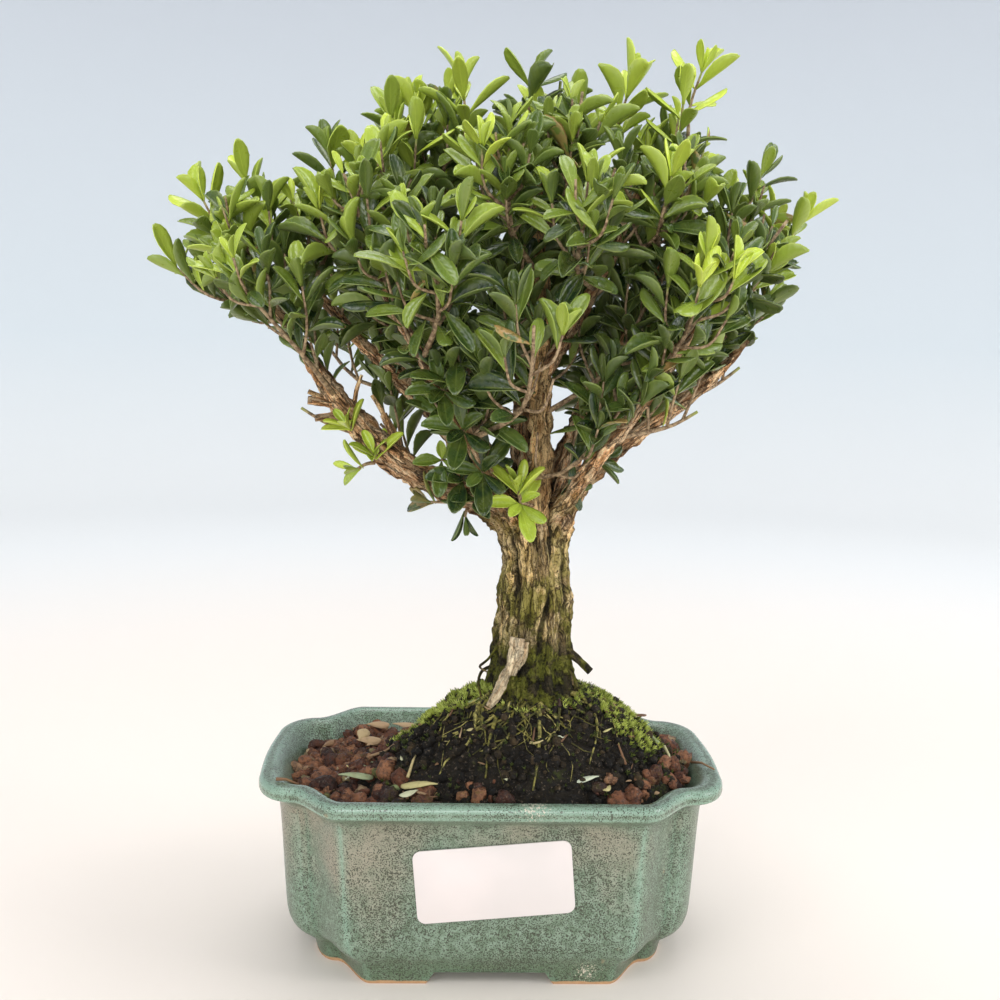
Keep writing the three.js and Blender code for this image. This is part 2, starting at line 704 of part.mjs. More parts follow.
// A loose leaf, lowered until it lies just clear of the soil
function makeFallenLeaf([x, y, turn, length], soil) {
  const along = new THREE.Vector3(Math.cos(turn), Math.sin(turn), 0);
  const face = new THREE.Vector3(0, 0, 1);
  const leafAtHeight = (z, grow) => (
    toSolid(leafGeometry(new THREE.Vector3(x, y, z), along, face, length, grow))
  );
  let z = SOIL_LEVEL + MOUND_HEIGHT;
  while (leafAtHeight(z - SETTLE_STEP, GAP).intersect(soil).volume() === 0) {
    z -= SETTLE_STEP;
  }
  return leafAtHeight(z, 0);
}

const materials = Object.fromEntries(
  Object.entries(COLOURS).map(([name, look]) => [name, new THREE.MeshStandardMaterial(look)]),
);

const bonsai = new THREE.Group();

function addPiece(name, geometry, material) {
  const mesh = new THREE.Mesh(geometry, materials[material]);
  mesh.name = name;
  bonsai.add(mesh);
}

const sprays = planSprays();
const wood = makeWood();
const screens = [-DRAIN_OFFSET, DRAIN_OFFSET].map(makeScreen);
const woodBelow = union([makeTrunk(GAP), ...makeRoots(GAP)]);
const soil = makeSoil(woodBelow, screens);
const twoDigits = (number) => String(number).padStart(2, "0");

addPiece("pot", toGeometry(makePot()), "glaze");
addPiece("drain_screen_left", toGeometry(screens[0]), "screen");
addPiece("drain_screen_right", toGeometry(screens[1]), "screen");
addPiece("paper_label", makeLabel(), "paper");
addPiece("soil", toGeometry(soil), "soil");
addPiece("trunk_and_branches", toGeometry(wood), "bark");
FALLEN_LEAVES.forEach((place, index) => {
  addPiece(`fallen_leaf_${index + 1}`, toGeometry(makeFallenLeaf(place, soil)), "fallenLeaf");
});
makeSprays(sprays, wood).forEach((solid, index) => {
  const { bright } = sprays[index];
  const name = `${bright ? "young" : "mature"}_spray_${twoDigits(index + 1)}`;
  addPiece(name, toGeometry(solid), bright ? "youngLeaf" : "matureLeaf");
});

// Move the whole so that the middle of its base box is the origin
const bounds = new THREE.Box3().setFromObject(bonsai);
const middle = bounds.getCenter(new THREE.Vector3());
bonsai.position.set(-middle.x, -middle.y, -bounds.min.z);

export default bonsai;
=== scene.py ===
import math

import bmesh
import bpy
import numpy as np
from mathutils import Matrix, Quaternion, Vector, noise


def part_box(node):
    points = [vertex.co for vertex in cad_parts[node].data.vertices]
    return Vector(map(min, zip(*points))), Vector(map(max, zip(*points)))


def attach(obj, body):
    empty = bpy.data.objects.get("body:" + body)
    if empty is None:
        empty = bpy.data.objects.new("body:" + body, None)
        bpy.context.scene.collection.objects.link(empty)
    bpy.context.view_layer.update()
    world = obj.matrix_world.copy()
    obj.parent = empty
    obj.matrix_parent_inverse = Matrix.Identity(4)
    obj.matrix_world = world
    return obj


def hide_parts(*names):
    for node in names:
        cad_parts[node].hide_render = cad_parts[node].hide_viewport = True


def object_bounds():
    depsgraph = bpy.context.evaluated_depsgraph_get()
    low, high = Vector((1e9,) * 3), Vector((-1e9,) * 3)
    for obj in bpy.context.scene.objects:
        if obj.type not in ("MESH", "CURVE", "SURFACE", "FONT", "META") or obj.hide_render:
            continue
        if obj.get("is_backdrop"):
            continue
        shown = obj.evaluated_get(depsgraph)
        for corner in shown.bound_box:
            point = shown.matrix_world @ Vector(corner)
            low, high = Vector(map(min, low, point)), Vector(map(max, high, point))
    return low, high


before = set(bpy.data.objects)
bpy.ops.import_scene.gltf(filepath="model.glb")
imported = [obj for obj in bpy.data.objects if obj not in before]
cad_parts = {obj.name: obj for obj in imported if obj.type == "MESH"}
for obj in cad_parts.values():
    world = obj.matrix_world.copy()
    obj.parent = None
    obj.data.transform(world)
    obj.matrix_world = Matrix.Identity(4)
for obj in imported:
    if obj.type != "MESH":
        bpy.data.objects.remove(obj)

bl_info = {
    "name": "Harland Boxwood Bonsai",
    "version": (1, 0, 0),
    "blender": (4, 5, 0),
    "location": "View3D > Sidebar > Bonsai",
    "description": "Dresses a boxwood bonsai and its glazed pot, piece by piece",
    "category": "Object",
}

# Lengths in the tables below are millimetres, measured from the middle of the pot's foot
MM = 0.001
BODY = "root"
CAD_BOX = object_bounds()
POT_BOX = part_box("pot")
POT_MIDDLE = (POT_BOX[0] + POT_BOX[1]) / 2
POT_SIZE = POT_BOX[1] - POT_BOX[0]
SHIFT = np.array((POT_MIDDLE.x, POT_MIDDLE.y, 0.0))

# The pot: each row is a height, its inset across the width and the depth, and its panel's half width
RIM_HALF = (POT_SIZE.x / MM / 2, POT_SIZE.y / MM / 2)
CORNER_STEP = 12.1
STEP_CUTS = 14
CORNER_CUTS = 9
CORNER_RUN_SHARE = 0.58
CORNER_DEPTH = 14.0
SIDE_BOW = 0.8
LEAST_FLAT = 2.0
FLAT_CUTS = 14
SIDE_CUTS = 5
PANEL_FOOT = (16.0, 6.1, 7.9, 36.4)
PANEL_HEAD = (41.0, 4.9, 6.8, 37.6)
POT_OUTSIDE = (
    (0.0, 14.2, 11.2, 31.0), (5.4, 13.0, 10.6, 31.6), (8.0, 8.4, 8.9, 34.9), (11.0, 6.6, 8.2, 36.0),
    PANEL_FOOT, PANEL_HEAD, (45.5, 4.2, 5.8, 38.0), (47.6, 1.9, 1.9, 38.5), (48.1, 1.3, 1.3, 38.6),
    (48.4, 0.3, 0.3, 38.8), (49.2, 0.0, 0.0, 38.8), (51.2, 0.0, 0.0, 38.8), (52.1, 1.0, 1.0, 38.6),
)
POT_INSIDE = (
    (52.1, 4.4, 4.4, 37.4), (46.5, 8.0, 8.2, 35.8), (41.0, 9.4, 10.8, 34.6), (14.0, 11.0, 12.2, 33.0),
    (8.2, 17.0, 17.0, 29.0),
)
FLOOR_TOP = 8.2
UNDERSIDE = 4.0
RECESS_HALF = (28.5, 24.2)
FOOT_ARCH_HEIGHT = 3.3
FRONT_ARCH_HALF = (16.6, 14.4)
SIDE_ARCH_HALF = (9.4, 7.4)
DRAIN_RADIUS = 6.0
DRAIN_OFFSET = 24.0
GAP = 0.3
LEAST_EDGE = 0.05
CUTTER_LENGTH = 200

# The blank label on the front panel
LABEL_SIZE = (40.5, 19.8)
LABEL_CORNER = 2.2
LABEL_THICK = 0.4
LABEL_TILT = math.radians(5)
LABEL_PLACE = (0.6, 29.8)

# The soil and its mound
SOIL_LEVEL = 47.0
MOUND_MIDDLE = (11.5, -4.0)
MOUND_HEIGHT = 24.0
MOUND_INNER = 12.0
MOUND_OUTER = (52.0, 39.0)
MOUND_RATIO = 0.9
BED_RINGS = 45
THIN_ROOTS = 120
THIN_ROOT_STEPS = 8
TUFT_BLADES = 5
LITTER_BITS = 150
LARGE_BITS = 40
# Patches of moss: x, y and the reach along each
MOSS_PATCHES = (
    (36, -8, 13, 12), (-9, 6, 15, 13), (22, 20, 16, 9), (-5, -7, 10, 7),
    (36, 8, 13, 11), (-20, 24, 9, 7), (-15, -3, 9, 7), (-24, 6, 7, 5),
)
# The large fallen leaves: node, turn and tone
FALLEN_LEAVES = (("fallen_leaf_1", 0.5, 0.95), ("fallen_leaf_2", 2.6, 0.7), ("fallen_leaf_3", 1.2, 0.5))

# Larger stones: x, y, z, size and tone
STONES = (
    (-8.2, -24.8, 49.8, 3.1, 1.0), (-8.2, -10.8, 51, 3.2, 0.6), (53, 17.9, 50, 2.5, 0.94),
    (-44, -19, 49, 2.8, 0.04), (-46, 4, 49, 2.4, 0.08), (-24, 20, 50, 2.7, 0.5),
    (49, -18, 49.6, 2.6, 0.02), (44, 22, 51, 2.3, 0.97), (-14, -27, 49, 2.2, 0.9),
    (-31, -11.5, 49.6, 2.4, 1.0),
)
# Dry leaves and chips: foot, tip, width as a share of length and tone
CHIPS = (
    ((-38.9, 14.1, 50.4), (-31.4, 16.5, 51.2), 0.5, 0.5), ((-38, 14.5, 50.5), (-36.1, 19.6, 53), 0.65, 0.55),
    ((-27.7, 12.7, 51), (-16.8, 17.3, 52.2), 0.26, 0.56), ((-37, 29, 50.5), (-30, 30, 51.5), 0.5, 0.45),
    ((-29, 28.5, 51), (-19, 28, 51.8), 0.35, 0.5), ((-14.9, -16.5, 50.8), (-8, -20.6, 52.2), 0.42, 0.74),
    ((-27.8, -24.6, 50), (-20.9, -19.7, 51), 0.3, 0.98), ((53, 11, 51), (54.5, 2, 52), 0.35, 0.05),
    ((50, -2, 51), (54, -9.6, 52), 0.4, 0.08), ((46, -14, 51), (51, -9, 52.5), 0.3, 0.02),
    ((-48, 9, 50), (-44, 15, 51.5), 0.35, 0.3), ((38, -23, 50), (44, -25, 50.8), 0.3, 0.45),
)
# Bits of stick: points, radius and tone
STICKS = (
    (((55.6, -7, 51.8), (57.6, -11, 53), (59.9, -16.8, 53.2)), 0.4, 0.3),
    (((-56.2, -26, 52.8), (-53.6, -25.6, 52.6), (-50.5, -25, 51)), 0.5, 0.26),
    (((-18.8, 30, 50), (-17.6, 30, 53.4), (-15, 30, 53.9), (-13.4, 29.5, 52)), 0.45, 0.2),
    (((43.2, 12.9, 51.5), (47, 9, 52), (51.9, 2.8, 51)), 0.4, 0.72),
    (((6.5, -25.5, 49.6), (11.3, -24.6, 50.3), (16, -24, 49.8)), 0.45, 0.42),
    (((24, -27, 49.4), (30, -26.4, 50.2), (37, -28, 49.6)), 0.4, 0.15),
)

# The trunk: height, centre x, centre y and radius
TRUNK = (
    (38, 11.6, -4, 9), (58, 11.6, -4, 12.5), (66, 11.3, -4.2, 14), (73, 11, -4.6, 12.4),
    (80, 10.8, -5, 10.6), (90, 10.9, -5.2, 9.9), (98, 11.3, -5.4, 9.6), (107, 11.1, -5.4, 8.6),
    (113, 10.7, -5.4, 9.2), (119, 10.2, -5.4, 10.6), (124, 10.2, -5, 8.6),
)
FLUTE_DEPTH = 0.11
TRUNK_RIDGES = 11
# The deepest crevices: the angle round the trunk, the width as an angle and the depth
TRUNK_SEAMS = (
    (-2.3, 0.07, 0.6), (-1.83, 0.06, 0.7), (-1.25, 0.08, 1.0), (-0.6, 0.07, 0.4),
    (1.2, 0.1, 0.8), (2.4, 0.1, 0.8),
)
TRUNK_SIDES = 150
TRUNK_RINGS = 170

# The limbs: points as x, y, z and radius
LIMBS = {
    "leftLow": (
        (6, -6, 117, 5.2), (-3, -9, 124, 4.3), (-15, -12, 129, 3.8), (-26, -14, 135, 3.5),
        (-35, -15, 143, 3), (-44, -15, 154, 2.4), (-52, -15, 166, 1.5), (-60, -13, 178, 1.1),
    ),
    "leftCut": (
        (6, -2, 118, 5.4), (-4, 4, 133, 4.5), (-14, 7, 146, 4.1), (-25, 8, 160, 3.6),
        (-34, 8, 175.5, 3.1),
    ),
    "leftThin": (
        (-10, 6, 141, 2.2), (-21, -2, 151, 1.9), (-34, -5, 163, 1.7), (-46, -6, 176, 1.4),
        (-58, -6, 190, 1),
    ),
    "leftUp": ((-13, 7, 145, 2.8), (-18, 4, 162, 2.2), (-22, 1, 182, 1.7), (-24, -1, 204, 1.1)),
    "frontStem": (
        (10, -11, 116, 3.6), (11.5, -14, 134, 2.8), (11, -15, 152, 2.5), (11.5, -16, 168, 2.1),
        (10, -15, 188, 1.6), (9, -14, 210, 1.1),
    ),
    "frontFork": (
        (11.3, -15, 158, 1.9), (19, -21, 172, 1.6), (27, -26, 188, 1.3), (33, -29, 204, 1),
    ),
    "rightLow": (
        (15, -6, 118, 4), (24, -8, 131, 2.9), (33, -10, 140, 2.5), (45, -11, 149, 2.1),
        (57, -12, 159, 1.5), (65, -12, 168, 0.8),
    ),
    "rightMid": (
        (14, -2, 119, 4), (21, 4, 138, 3.2), (29, 7, 156, 2.6), (38, 8, 174, 2.1),
        (47, 7, 192, 1.6), (53, 5, 210, 1.1),
    ),
    "centreBack": (
        (10, 0, 118, 4.2), (8, 10, 140, 3.3), (9, 17, 162, 2.7), (12, 21, 184, 2.1),
        (14, 22, 206, 1.3),
    ),
    "backLeft": (
        (6, 0, 118, 3.8), (-3, 14, 134, 3), (-14, 26, 150, 2.4), (-26, 35, 167, 1.8),
        (-38, 40, 184, 1.2),
    ),
    "backRight": (
        (14, 0, 118, 3.8), (22, 16, 134, 3), (31, 28, 150, 2.4), (41, 37, 167, 1.8),
        (50, 42, 184, 1.2),
    ),
    "frontLeft": (
        (6, -9, 117, 2.6), (-2, -22, 131, 1.8), (-10, -33, 146, 1.5), (-19, -42, 162, 1.3),
        (-28, -47, 178, 1.1),
    ),
    "frontRight": (
        (14, -9, 118, 2.6), (22, -22, 132, 1.9), (31, -33, 147, 1.6), (41, -40, 163, 1.4),
        (50, -44, 180, 1.1),
    ),
}
# How pale the bark is at a limb's foot and at its tip, where it is pale
LIMB_PALE = {"frontStem": (0.76, 0.6), "leftCut": (0.0, 0.6), "leftLow": (0.0, 0.35)}
# Stubs of lost branches: root, tip and radius
STUBS = (
    ((-40, -15, 149), (-49, -17, 150.5), 1.5),
    ((-38, -15, 146.5), (-47, -18, 146), 1.2),
    ((-25, -13, 136), (-30, -13, 147), 1.3),
    ((16, -8, 86), (26.5, -10, 78), 1.3),
)
ROOT_COUNT = 8
ROOT_LENGTH = (15.0, 27.0)
ROOT_RADIUS = 1.9
ROOT_SHARES = (0, 0.34, 0.67, 1)

# The crown's sprays, on a shell round the growth point and inside it
GROWTH_POINT = Vector((2, -4, 128))
CROWN_RADIUS = (118.0, 90.0)
CROWN_DEPTH_RATIO = 0.84
CROWN_SHOULDER = math.radians(50)
CROWN_EDGE = math.radians(65)
SHELL_SPRAYS = 33
INNER_SPRAYS = 9
LEAFY_LENGTH = 27.0
TIP_MARGIN = 7.0
FORK_REACH = 12.0
CROWN_SEED = 11
# The turn from one shoot or leaf to the next, and the span of a random turn, in radians
LEAF_TWIST = 2.4
NEAR_TURN = 6.28
# Where each random stream starts
SEEDS = {
    "granules": 501, "crumbs": 502, "moss": 611, "thin_roots": 640, "litter": 733, "spray": 900,
    "limb_shoots": 1200, "leaders": 1500,
}

# Leaf outline: share of the length and share of the half width at each cross row
LEAF_ROWS = (
    (0.0, 0.07), (0.15, 0.29), (0.36, 0.75), (0.58, 1.0), (0.77, 0.95), (0.92, 0.64), (1.0, 0.24),
)
# Leaf columns as shares of the half width, in full and for the leaves behind
LEAF_COLUMNS = (-1, -0.55, 0, 0.55, 1)
PLAIN_COLUMNS = (-1, 0, 1)
LEAF_THICKNESS = 0.022
# The leaf's forms: name, cup and droop
LEAF_FORMS = (
    ("leaf_flat", 0.12, 0.05), ("leaf_arched", 0.06, 0.5), ("leaf_folded", 0.24, 0.3),
    ("leaf_domed", -0.1, 0.35),
)
# The age mark is how old a leaf is, darkened further deep in the crown as painted shade.
LEAF_MARKS = ("age", "chance", "across", "along", "under")

# How far the crown reaches from the growth point: degrees from upright, then millimetres
REACH_LEFT = (
    (0, 112), (8, 109), (19, 103), (29, 99), (40, 105), (48, 110), (57, 110), (65, 90), (75, 62),
    (85, 44), (110, 26),
)
REACH_RIGHT = (
    (0, 112), (8, 112), (19, 111), (29, 107), (40, 106), (48, 106), (54, 98), (58, 88), (64, 76),
    (72, 58), (82, 42), (110, 26),
)
# The crown's underside: places across, then the least height of a leaf there
UNDERSIDE_PLACES = (-92, -82, -70, -62, -54, -46, -38, -30, -22, -8, 12, 20, 28, 36, 46, 55, 62, 74, 84, 92)
UNDERSIDE_HEIGHTS = (
    184, 173, 169, 171, 162, 160, 158, 151, 142, 122, 119, 130, 137, 142, 151, 157, 165, 172, 194, 200,
)
UNDERSIDE_RISE = 0.2

# The tips that stand out of the crown: x, y, z and how young their leaves are
LEADERS = (
    (52.9, -6, 243.6, 1.0), (47, -14, 234, 0.85), (33.4, -10, 239, 0.95), (19.6, -4, 232, 0.6),
    (8.3, -4, 242.5, 0.5), (-10.8, -8, 238, 1.0), (-24.3, 0, 232.7, 0.8), (-30.3, -4, 230, 0.6),
    (-38, -12, 218, 0.75), (-46.5, -6, 220.7, 0.35), (-68.8, -8, 212.5, 0.7), (-81.5, -4, 207.5, 0.75),
    (-91, -2, 188.7, 0.5), (71.5, -2, 217.5, 0.4), (82.5, -6, 204.6, 0.85), (76, -4, 179, 0.45),
    (73, -12, 181, 0.5), (67, -17, 178, 0.4), (61, -10, 173, 0.35), (20, 42, 232, 0.9),
    (-34, 40, 216, 0.8), (56, 38, 214, 0.9), (-8, 58, 212, 0.5), (-58, 30, 206, 0.7),
    (40, -46, 212, 0.8), (-6, -50, 217, 0.9), (-46, -40, 203, 0.6), (-70, -30, 190, 0.5),
    (68, -34, 190, 0.75), (64, 30, 198, 0.6),
)
LEADER_LENGTH = 26.0
PLAIN_LEAVES_BEHIND = 20.0
BOX_MARGIN = 0.0001
# The share of a limb's length past which its own shoots grow
FIRST_SHOOTS = {"leftLow": 0.6, "leftCut": 0.55, "leftThin": 0.45}
COMMON_FIRST_SHOOT = 0.38
LIMB_SHOOT_SPACING = 6.0
# The front stem shows through the leaves here: least and greatest x, greatest y, and least and greatest z
STEM_WINDOW = ((4.5, 18.0), -9.0, (126.0, 168.0))

# Sprigs on the old wood: root, tip, heading, leaves, opening, leaf length, width share, age and chance
SPRIGS = (
    ((10.5, -13.5, 123), (6.0, -23.0, 125.6), (0.05, -0.82, 0.45), 7, 1.42, 10.4, 0.38, 0.76, 0.2),
    ((6.0, -22.6, 125.4), (5.0, -24.0, 129.0), (-0.1, -0.4, 0.9), 5, 0.72, 12.0, 0.35, 0.97, 0.2),
    ((-4, -23, 132), (-4, -28, 134), (0, -0.9, 0.4), 7, 1.3, 11.5, 0.38, 0.14, 0.7),
    ((-9, -31, 142), (-9, -36, 145), (0, -0.8, 0.5), 7, 1.3, 11.5, 0.38, 0.18, 0.4),
    ((-14, -37, 153), (-14, -42, 155), (0, -0.8, 0.5), 7, 1.3, 11.5, 0.36, 0.22, 0.5),
    ((-12.5, -14, 134), (-14.4, -18.5, 136), (0.05, -0.85, 0.35), 5, 1.5, 9.6, 0.42, 0.42, 0.3),
    ((-35.5, -15.5, 141.5), (-38.6, -18.5, 144.2), (-0.55, -0.3, 0.75), 7, 0.95, 8.4, 0.38, 0.95, 0.2),
    ((-29.5, -14.5, 135), (-31.8, -18.5, 137), (-0.25, -0.45, 0.85), 7, 1.1, 9.2, 0.38, 0.85, 0.2),
    ((-32, -15, 134.5), (-36.2, -18.4, 133.2), (-0.9, -0.3, -0.05), 4, 1.0, 8.6, 0.36, 0.62, 0.2),
    ((-4.5, -12.5, 123), (-17.5, -15.5, 124.5), (-0.95, -0.2, 0.3), 4, 0.9, 10.0, 0.36, 0.16, 0.986),
    ((-7.5, -12.6, 122.6), (-8.2, -14.2, 120.5), (0.1, -0.3, -0.9), 3, 0.5, 8.0, 0.3, 0.08, 0.9),
    ((-2, -12, 121), (-5.5, -17, 126), (-0.3, -0.7, 0.5), 6, 1.3, 11.0, 0.44, 0.07, 0.95),
    ((-10, -10, 126), (-9, -17, 131), (0.0, -0.8, 0.5), 6, 1.3, 11.5, 0.46, 0.05, 0.95),
    ((-3, -8, 124), (-3, -15, 136), (-0.1, -0.8, 0.5), 6, 1.3, 11.5, 0.4, 0.10, 0.9),
    ((17.5, -10, 131), (27.5, -14.5, 136.5), (0.9, -0.25, 0.35), 7, 1.1, 9.2, 0.36, 0.10, 0.9),
    ((16.5, -10, 124), (19.5, -14, 129), (0.5, -0.7, 0.2), 5, 1.3, 7.5, 0.4, 0.10, 0.95),
    ((12, 2, 120), (14, 10, 128), (0.2, 0.8, 0.5), 6, 1.3, 11.0, 0.44, 0.2, 0.7),
    ((3, 3, 121), (-4, 9, 130), (-0.5, 0.7, 0.5), 6, 1.2, 10.5, 0.42, 0.3, 0.3),
)
# Dead twigs, stubs and root loops: points and radius
TWIGS = (
    (((-37.5, -14.5, 148.5), (-36.6, -15, 153.5), (-35.4, -15, 157.2)), 0.75),
    (((-27, -13, 139), (-29.5, -13.5, 146.5), (-32.9, -13.6, 152)), 0.85),
    (((-41, -15, 148.5), (-46, -16, 151.5), (-49, -16.5, 152.8)), 1.0),
    (((2.2, -8, 86), (-1.4, -9.5, 81), (-3.6, -10, 79), (-1.6, -11.5, 78)), 0.42),
    (((0.4, -10, 79.5), (-2.9, -10.5, 78), (-3.9, -10.8, 75), (-3.1, -11, 71)), 0.5),
    (((18.5, -9, 80), (21, -10.5, 78), (21.8, -11, 74.5)), 0.35),
)
# The slab of loose, pale bark at the trunk's foot: points, radii and paleness of each strip
BARK_SLAB = (
    (((6.4, -15.4, 88.4), (5.6, -16.2, 84), (4.2, -17, 78.8)), (1.6, 1.9, 1.2), 1.0),
    (((8.3, -14.8, 87.2), (7.8, -15.6, 83.5), (6.4, -16.2, 80)), (0.9, 1.1, 0.6), 0.92),
    (((4.6, -16.8, 81), (2.2, -17.8, 76), (-1.2, -19.2, 70.6)), (1.2, 1.5, 0.9), 1.0),
)
# The camera, from the fitted view
CAMERA_PLACE = (-9.2666, -343.9010, 167.4924)
CAMERA_AHEAD = (0.03063568, 0.99137679, -0.12741084)
CAMERA_UP = (-0.01507919, 0.12791457, 0.99167055)

# The stage, in metres: the floor, the curve up to the wall, and the wall
FLOOR_RADIUS = 0.9
CURVE_RADIUS = 0.45
CURVE_STEPS = 12
WALL_HEIGHT = 0.9
# Soft lights: name, place, height aimed at, size and watts
LIGHTS = (
    ("key_light", (-0.55, -0.75, 0.95), 0.12, 0.7, 3.0),
    ("front_light", (-0.15, -1.25, 0.4), 0.16, 0.7, 6.0),
    ("fill_light", (0.95, -0.25, 0.55), 0.12, 0.7, 4.3),
    ("top_light", (0.0, 0.25, 1.15), 0.15, 0.9, 5.8),
)
WORLD_COLOUR = (0.93, 0.96, 1.0, 1)
WORLD_STRENGTH = 0.56


# Small helpers


def lerp(low, high, share):
    """The value at a share of the way from low to high."""
    return low + (high - low) * share


def smooth_step(value, low, high):
    """A smooth rise from zero at low to one at high."""
    share = min(max((value - low) / (high - low), 0.0), 1.0)
    return share * share * (3 - 2 * share)


def random_from(seed):
    """Returns a repeatable stream of numbers from 0 to 1."""
    mask = 0xFFFFFFFF
    state = seed & mask

    def draw():
        nonlocal state
        state = (state + 0x6D2B79F5) & mask
        mixed = ((state ^ (state >> 15)) * (state | 1)) & mask
        mixed ^= (mixed + (mixed ^ (mixed >> 7)) * (mixed | 61)) & mask
        return (mixed ^ (mixed >> 14)) / 4294967296

    return draw


def pick(items, draw):
    """One of the items, at random."""
    return items[int(draw() * len(items)) % len(items)]


def to_row(points):
    """Millimetres round the pot's foot to the model's metres."""
    return np.asarray(points, float) * MM + SHIFT


def curve_point(points, share):
    """A point on the smooth curve through the given ones."""
    last = len(points) - 1
    place = share * last
    index = min(int(place), last - 1)
    weight = place - index
    p1, p2 = points[index], points[index + 1]
    p0 = points[index - 1] if index > 0 else p1 * 2 - p2
    p3 = points[index + 2] if index + 2 <= last else p2 * 2 - p1
    steps = [max((b - a).length_squared ** 0.25, 1e-4) for a, b in ((p0, p1), (p1, p2), (p2, p3))]
    before, here, after = steps
    t1 = ((p1 - p0) / before - (p2 - p0) / (before + here) + (p2 - p1) / here) * here
    t2 = ((p2 - p1) / here - (p3 - p1) / (here + after) + (p3 - p2) / after) * here
    return (
        p1 + t1 * weight
        + (p1 * -3 + p2 * 3 - t1 * 2 - t2) * weight ** 2
        + (p1 * 2 - p2 * 2 + t1 + t2) * weight ** 3
    )


def heading_at(path, share):
    """The direction along a path at a share of its length."""
    before, after = curve_point(path, max(share - 0.05, 0)), curve_point(path, min(share + 0.05, 1))
    return (after - before).normalized()


def path_length(points):
    """The length of straight runs between points."""
    return sum((b - a).length for a, b in zip(points, points[1:]))


def tapered(radius, count):
    """Radii that shrink evenly to six tenths along a run of points."""
    return [lerp(radius, 0.6 * radius, step / (count - 1)) for step in range(count)]


def square_to(along):
    """A direction square to another."""
    helper = Vector((0, 1, 0)) if abs(along.y) < 0.8 else Vector((1, 0, 0))
    return helper.cross(along).normalized()


def flattened(vector, axis):
    """The direction of a vector's part that is square to an axis."""
    return (vector - axis * vector.dot(axis)).normalized()


def turned(vector, axis, angle):
    """A vector turned round an axis."""
    return Quaternion(axis, angle) @ vector


def soil_height(x, y):
    """The height of the soil: flat, with a rippled mound round the trunk."""
    away = math.hypot((x - MOUND_MIDDLE[0]) / MOUND_OUTER[0], (y - MOUND_MIDDLE[1]) / MOUND_OUTER[1])
    rise = 1 - smooth_step(away, MOUND_INNER / MOUND_OUTER[0], 1)
    ripple = 0.5 * math.sin(0.55 * x + 1.3) * math.cos(0.62 * y - 0.4)
    return SOIL_LEVEL + MOUND_HEIGHT * rise + ripple


def mound_spot(reach, angle):
    """The place on the soil at a reach and an angle from the mound's middle."""
    x = MOUND_MIDDLE[0] + reach * math.cos(angle)
    y = MOUND_MIDDLE[1] + MOUND_RATIO * reach * math.sin(angle)
    return x, y, soil_height(x, y)


def pot_outline(inset_x, inset_y, panel, step_cuts, corner_cuts):
    """The pot's plan outline at an inset from the rim, anticlockwise."""
    half_width = RIM_HALF[0] - inset_x
    half_depth = RIM_HALF[1] - inset_y
    shoulder = half_depth - CORNER_STEP
    run = CORNER_RUN_SHARE * (half_width - panel)
    radius_x = half_width - panel - run
    radius_y = min(CORNER_DEPTH, shoulder - LEAST_FLAT)
    quarter = [(panel * step / FLAT_CUTS, -half_depth) for step in range(1, FLAT_CUTS)]
    for step in range(step_cuts + 1):
        share = step / step_cuts
        drop = CORNER_STEP * (1 - math.cos(math.pi * share)) / 2
        quarter.append((panel + run * share, drop - half_depth))
    for step in range(1, corner_cuts + 1):
        turn = step / corner_cuts * math.pi / 2
        quarter.append((
            half_width - SIDE_BOW - (radius_x - SIDE_BOW) * (1 - math.sin(turn)),
            radius_y * (1 - math.cos(turn)) - shoulder,
        ))
    (last_x, last_y), end_x = quarter[-1], half_width
    for step in range(1, SIDE_CUTS):
        share = step / SIDE_CUTS
        quarter.append((lerp(last_x, end_x, math.sin(share * math.pi / 2)), lerp(last_y, 0, share)))
    right = [(0.0, -half_depth), *quarter, (half_width, 0.0), *((x, -y) for x, y in reversed(quarter))]
    return [*right, *((-x, -y) for x, y in right)]


def rounded(rows, passes=2):
    """Cuts the corners of a profile, which keeps its two ends."""
    for _ in range(passes):
        cut = [rows[0]]
        for low, high in zip(rows, rows[1:]):
            low, high = np.array(low), np.array(high)
            cut += [tuple(lerp(low, high, 0.25)), tuple(lerp(low, high, 0.75))]
        rows = [*cut, rows[-1]]
    return rows


class ShapeStack:
    """Gathers shapes, in millimetres, into one mesh with a number or more at each point."""

    def __init__(self, *marks):
        self.points, self.faces, self.slots = [], [], []
        self.marks = {mark: [] for mark in marks}
        self.count = 0

    def add(self, points, faces, slot=0, **values):
        """Adds a shape, with a value for the whole shape or one for each point in each mark."""
        points = np.asarray(points, float)
        self.points.append(points)
        self.faces += [[int(corner) + self.count for corner in face] for face in faces]
        self.slots += [slot] * len(faces)
        for mark, found in self.marks.items():
            value = np.asarray(values.get(mark, 0.0), float)
            found.append(value if value.ndim == 2 else np.broadcast_to(value, len(points)))
        self.count += len(points)

    def make(self, name):
        """Makes one smooth-shaded object of all the shapes."""
        mesh = bpy.data.meshes.new(name)
        mesh.from_pydata(to_row(np.concatenate(self.points)).tolist(), [], self.faces)
        mesh.polygons.foreach_set("material_index", self.slots)
        for mark, found in self.marks.items():
            found = np.concatenate(found)
            if found.ndim == 2:
                mesh.attributes.new(mark, "FLOAT_VECTOR", "POINT").data.foreach_set("vector", found.ravel())
            else:
                mesh.attributes.new(mark, "FLOAT", "POINT").data.foreach_set("value", found)
        mesh.polygons.foreach_set("use_smooth", [True] * len(mesh.polygons))
        mesh.update()
        piece = bpy.data.objects.new(name, mesh)
        bpy.context.collection.objects.link(piece)
        return piece


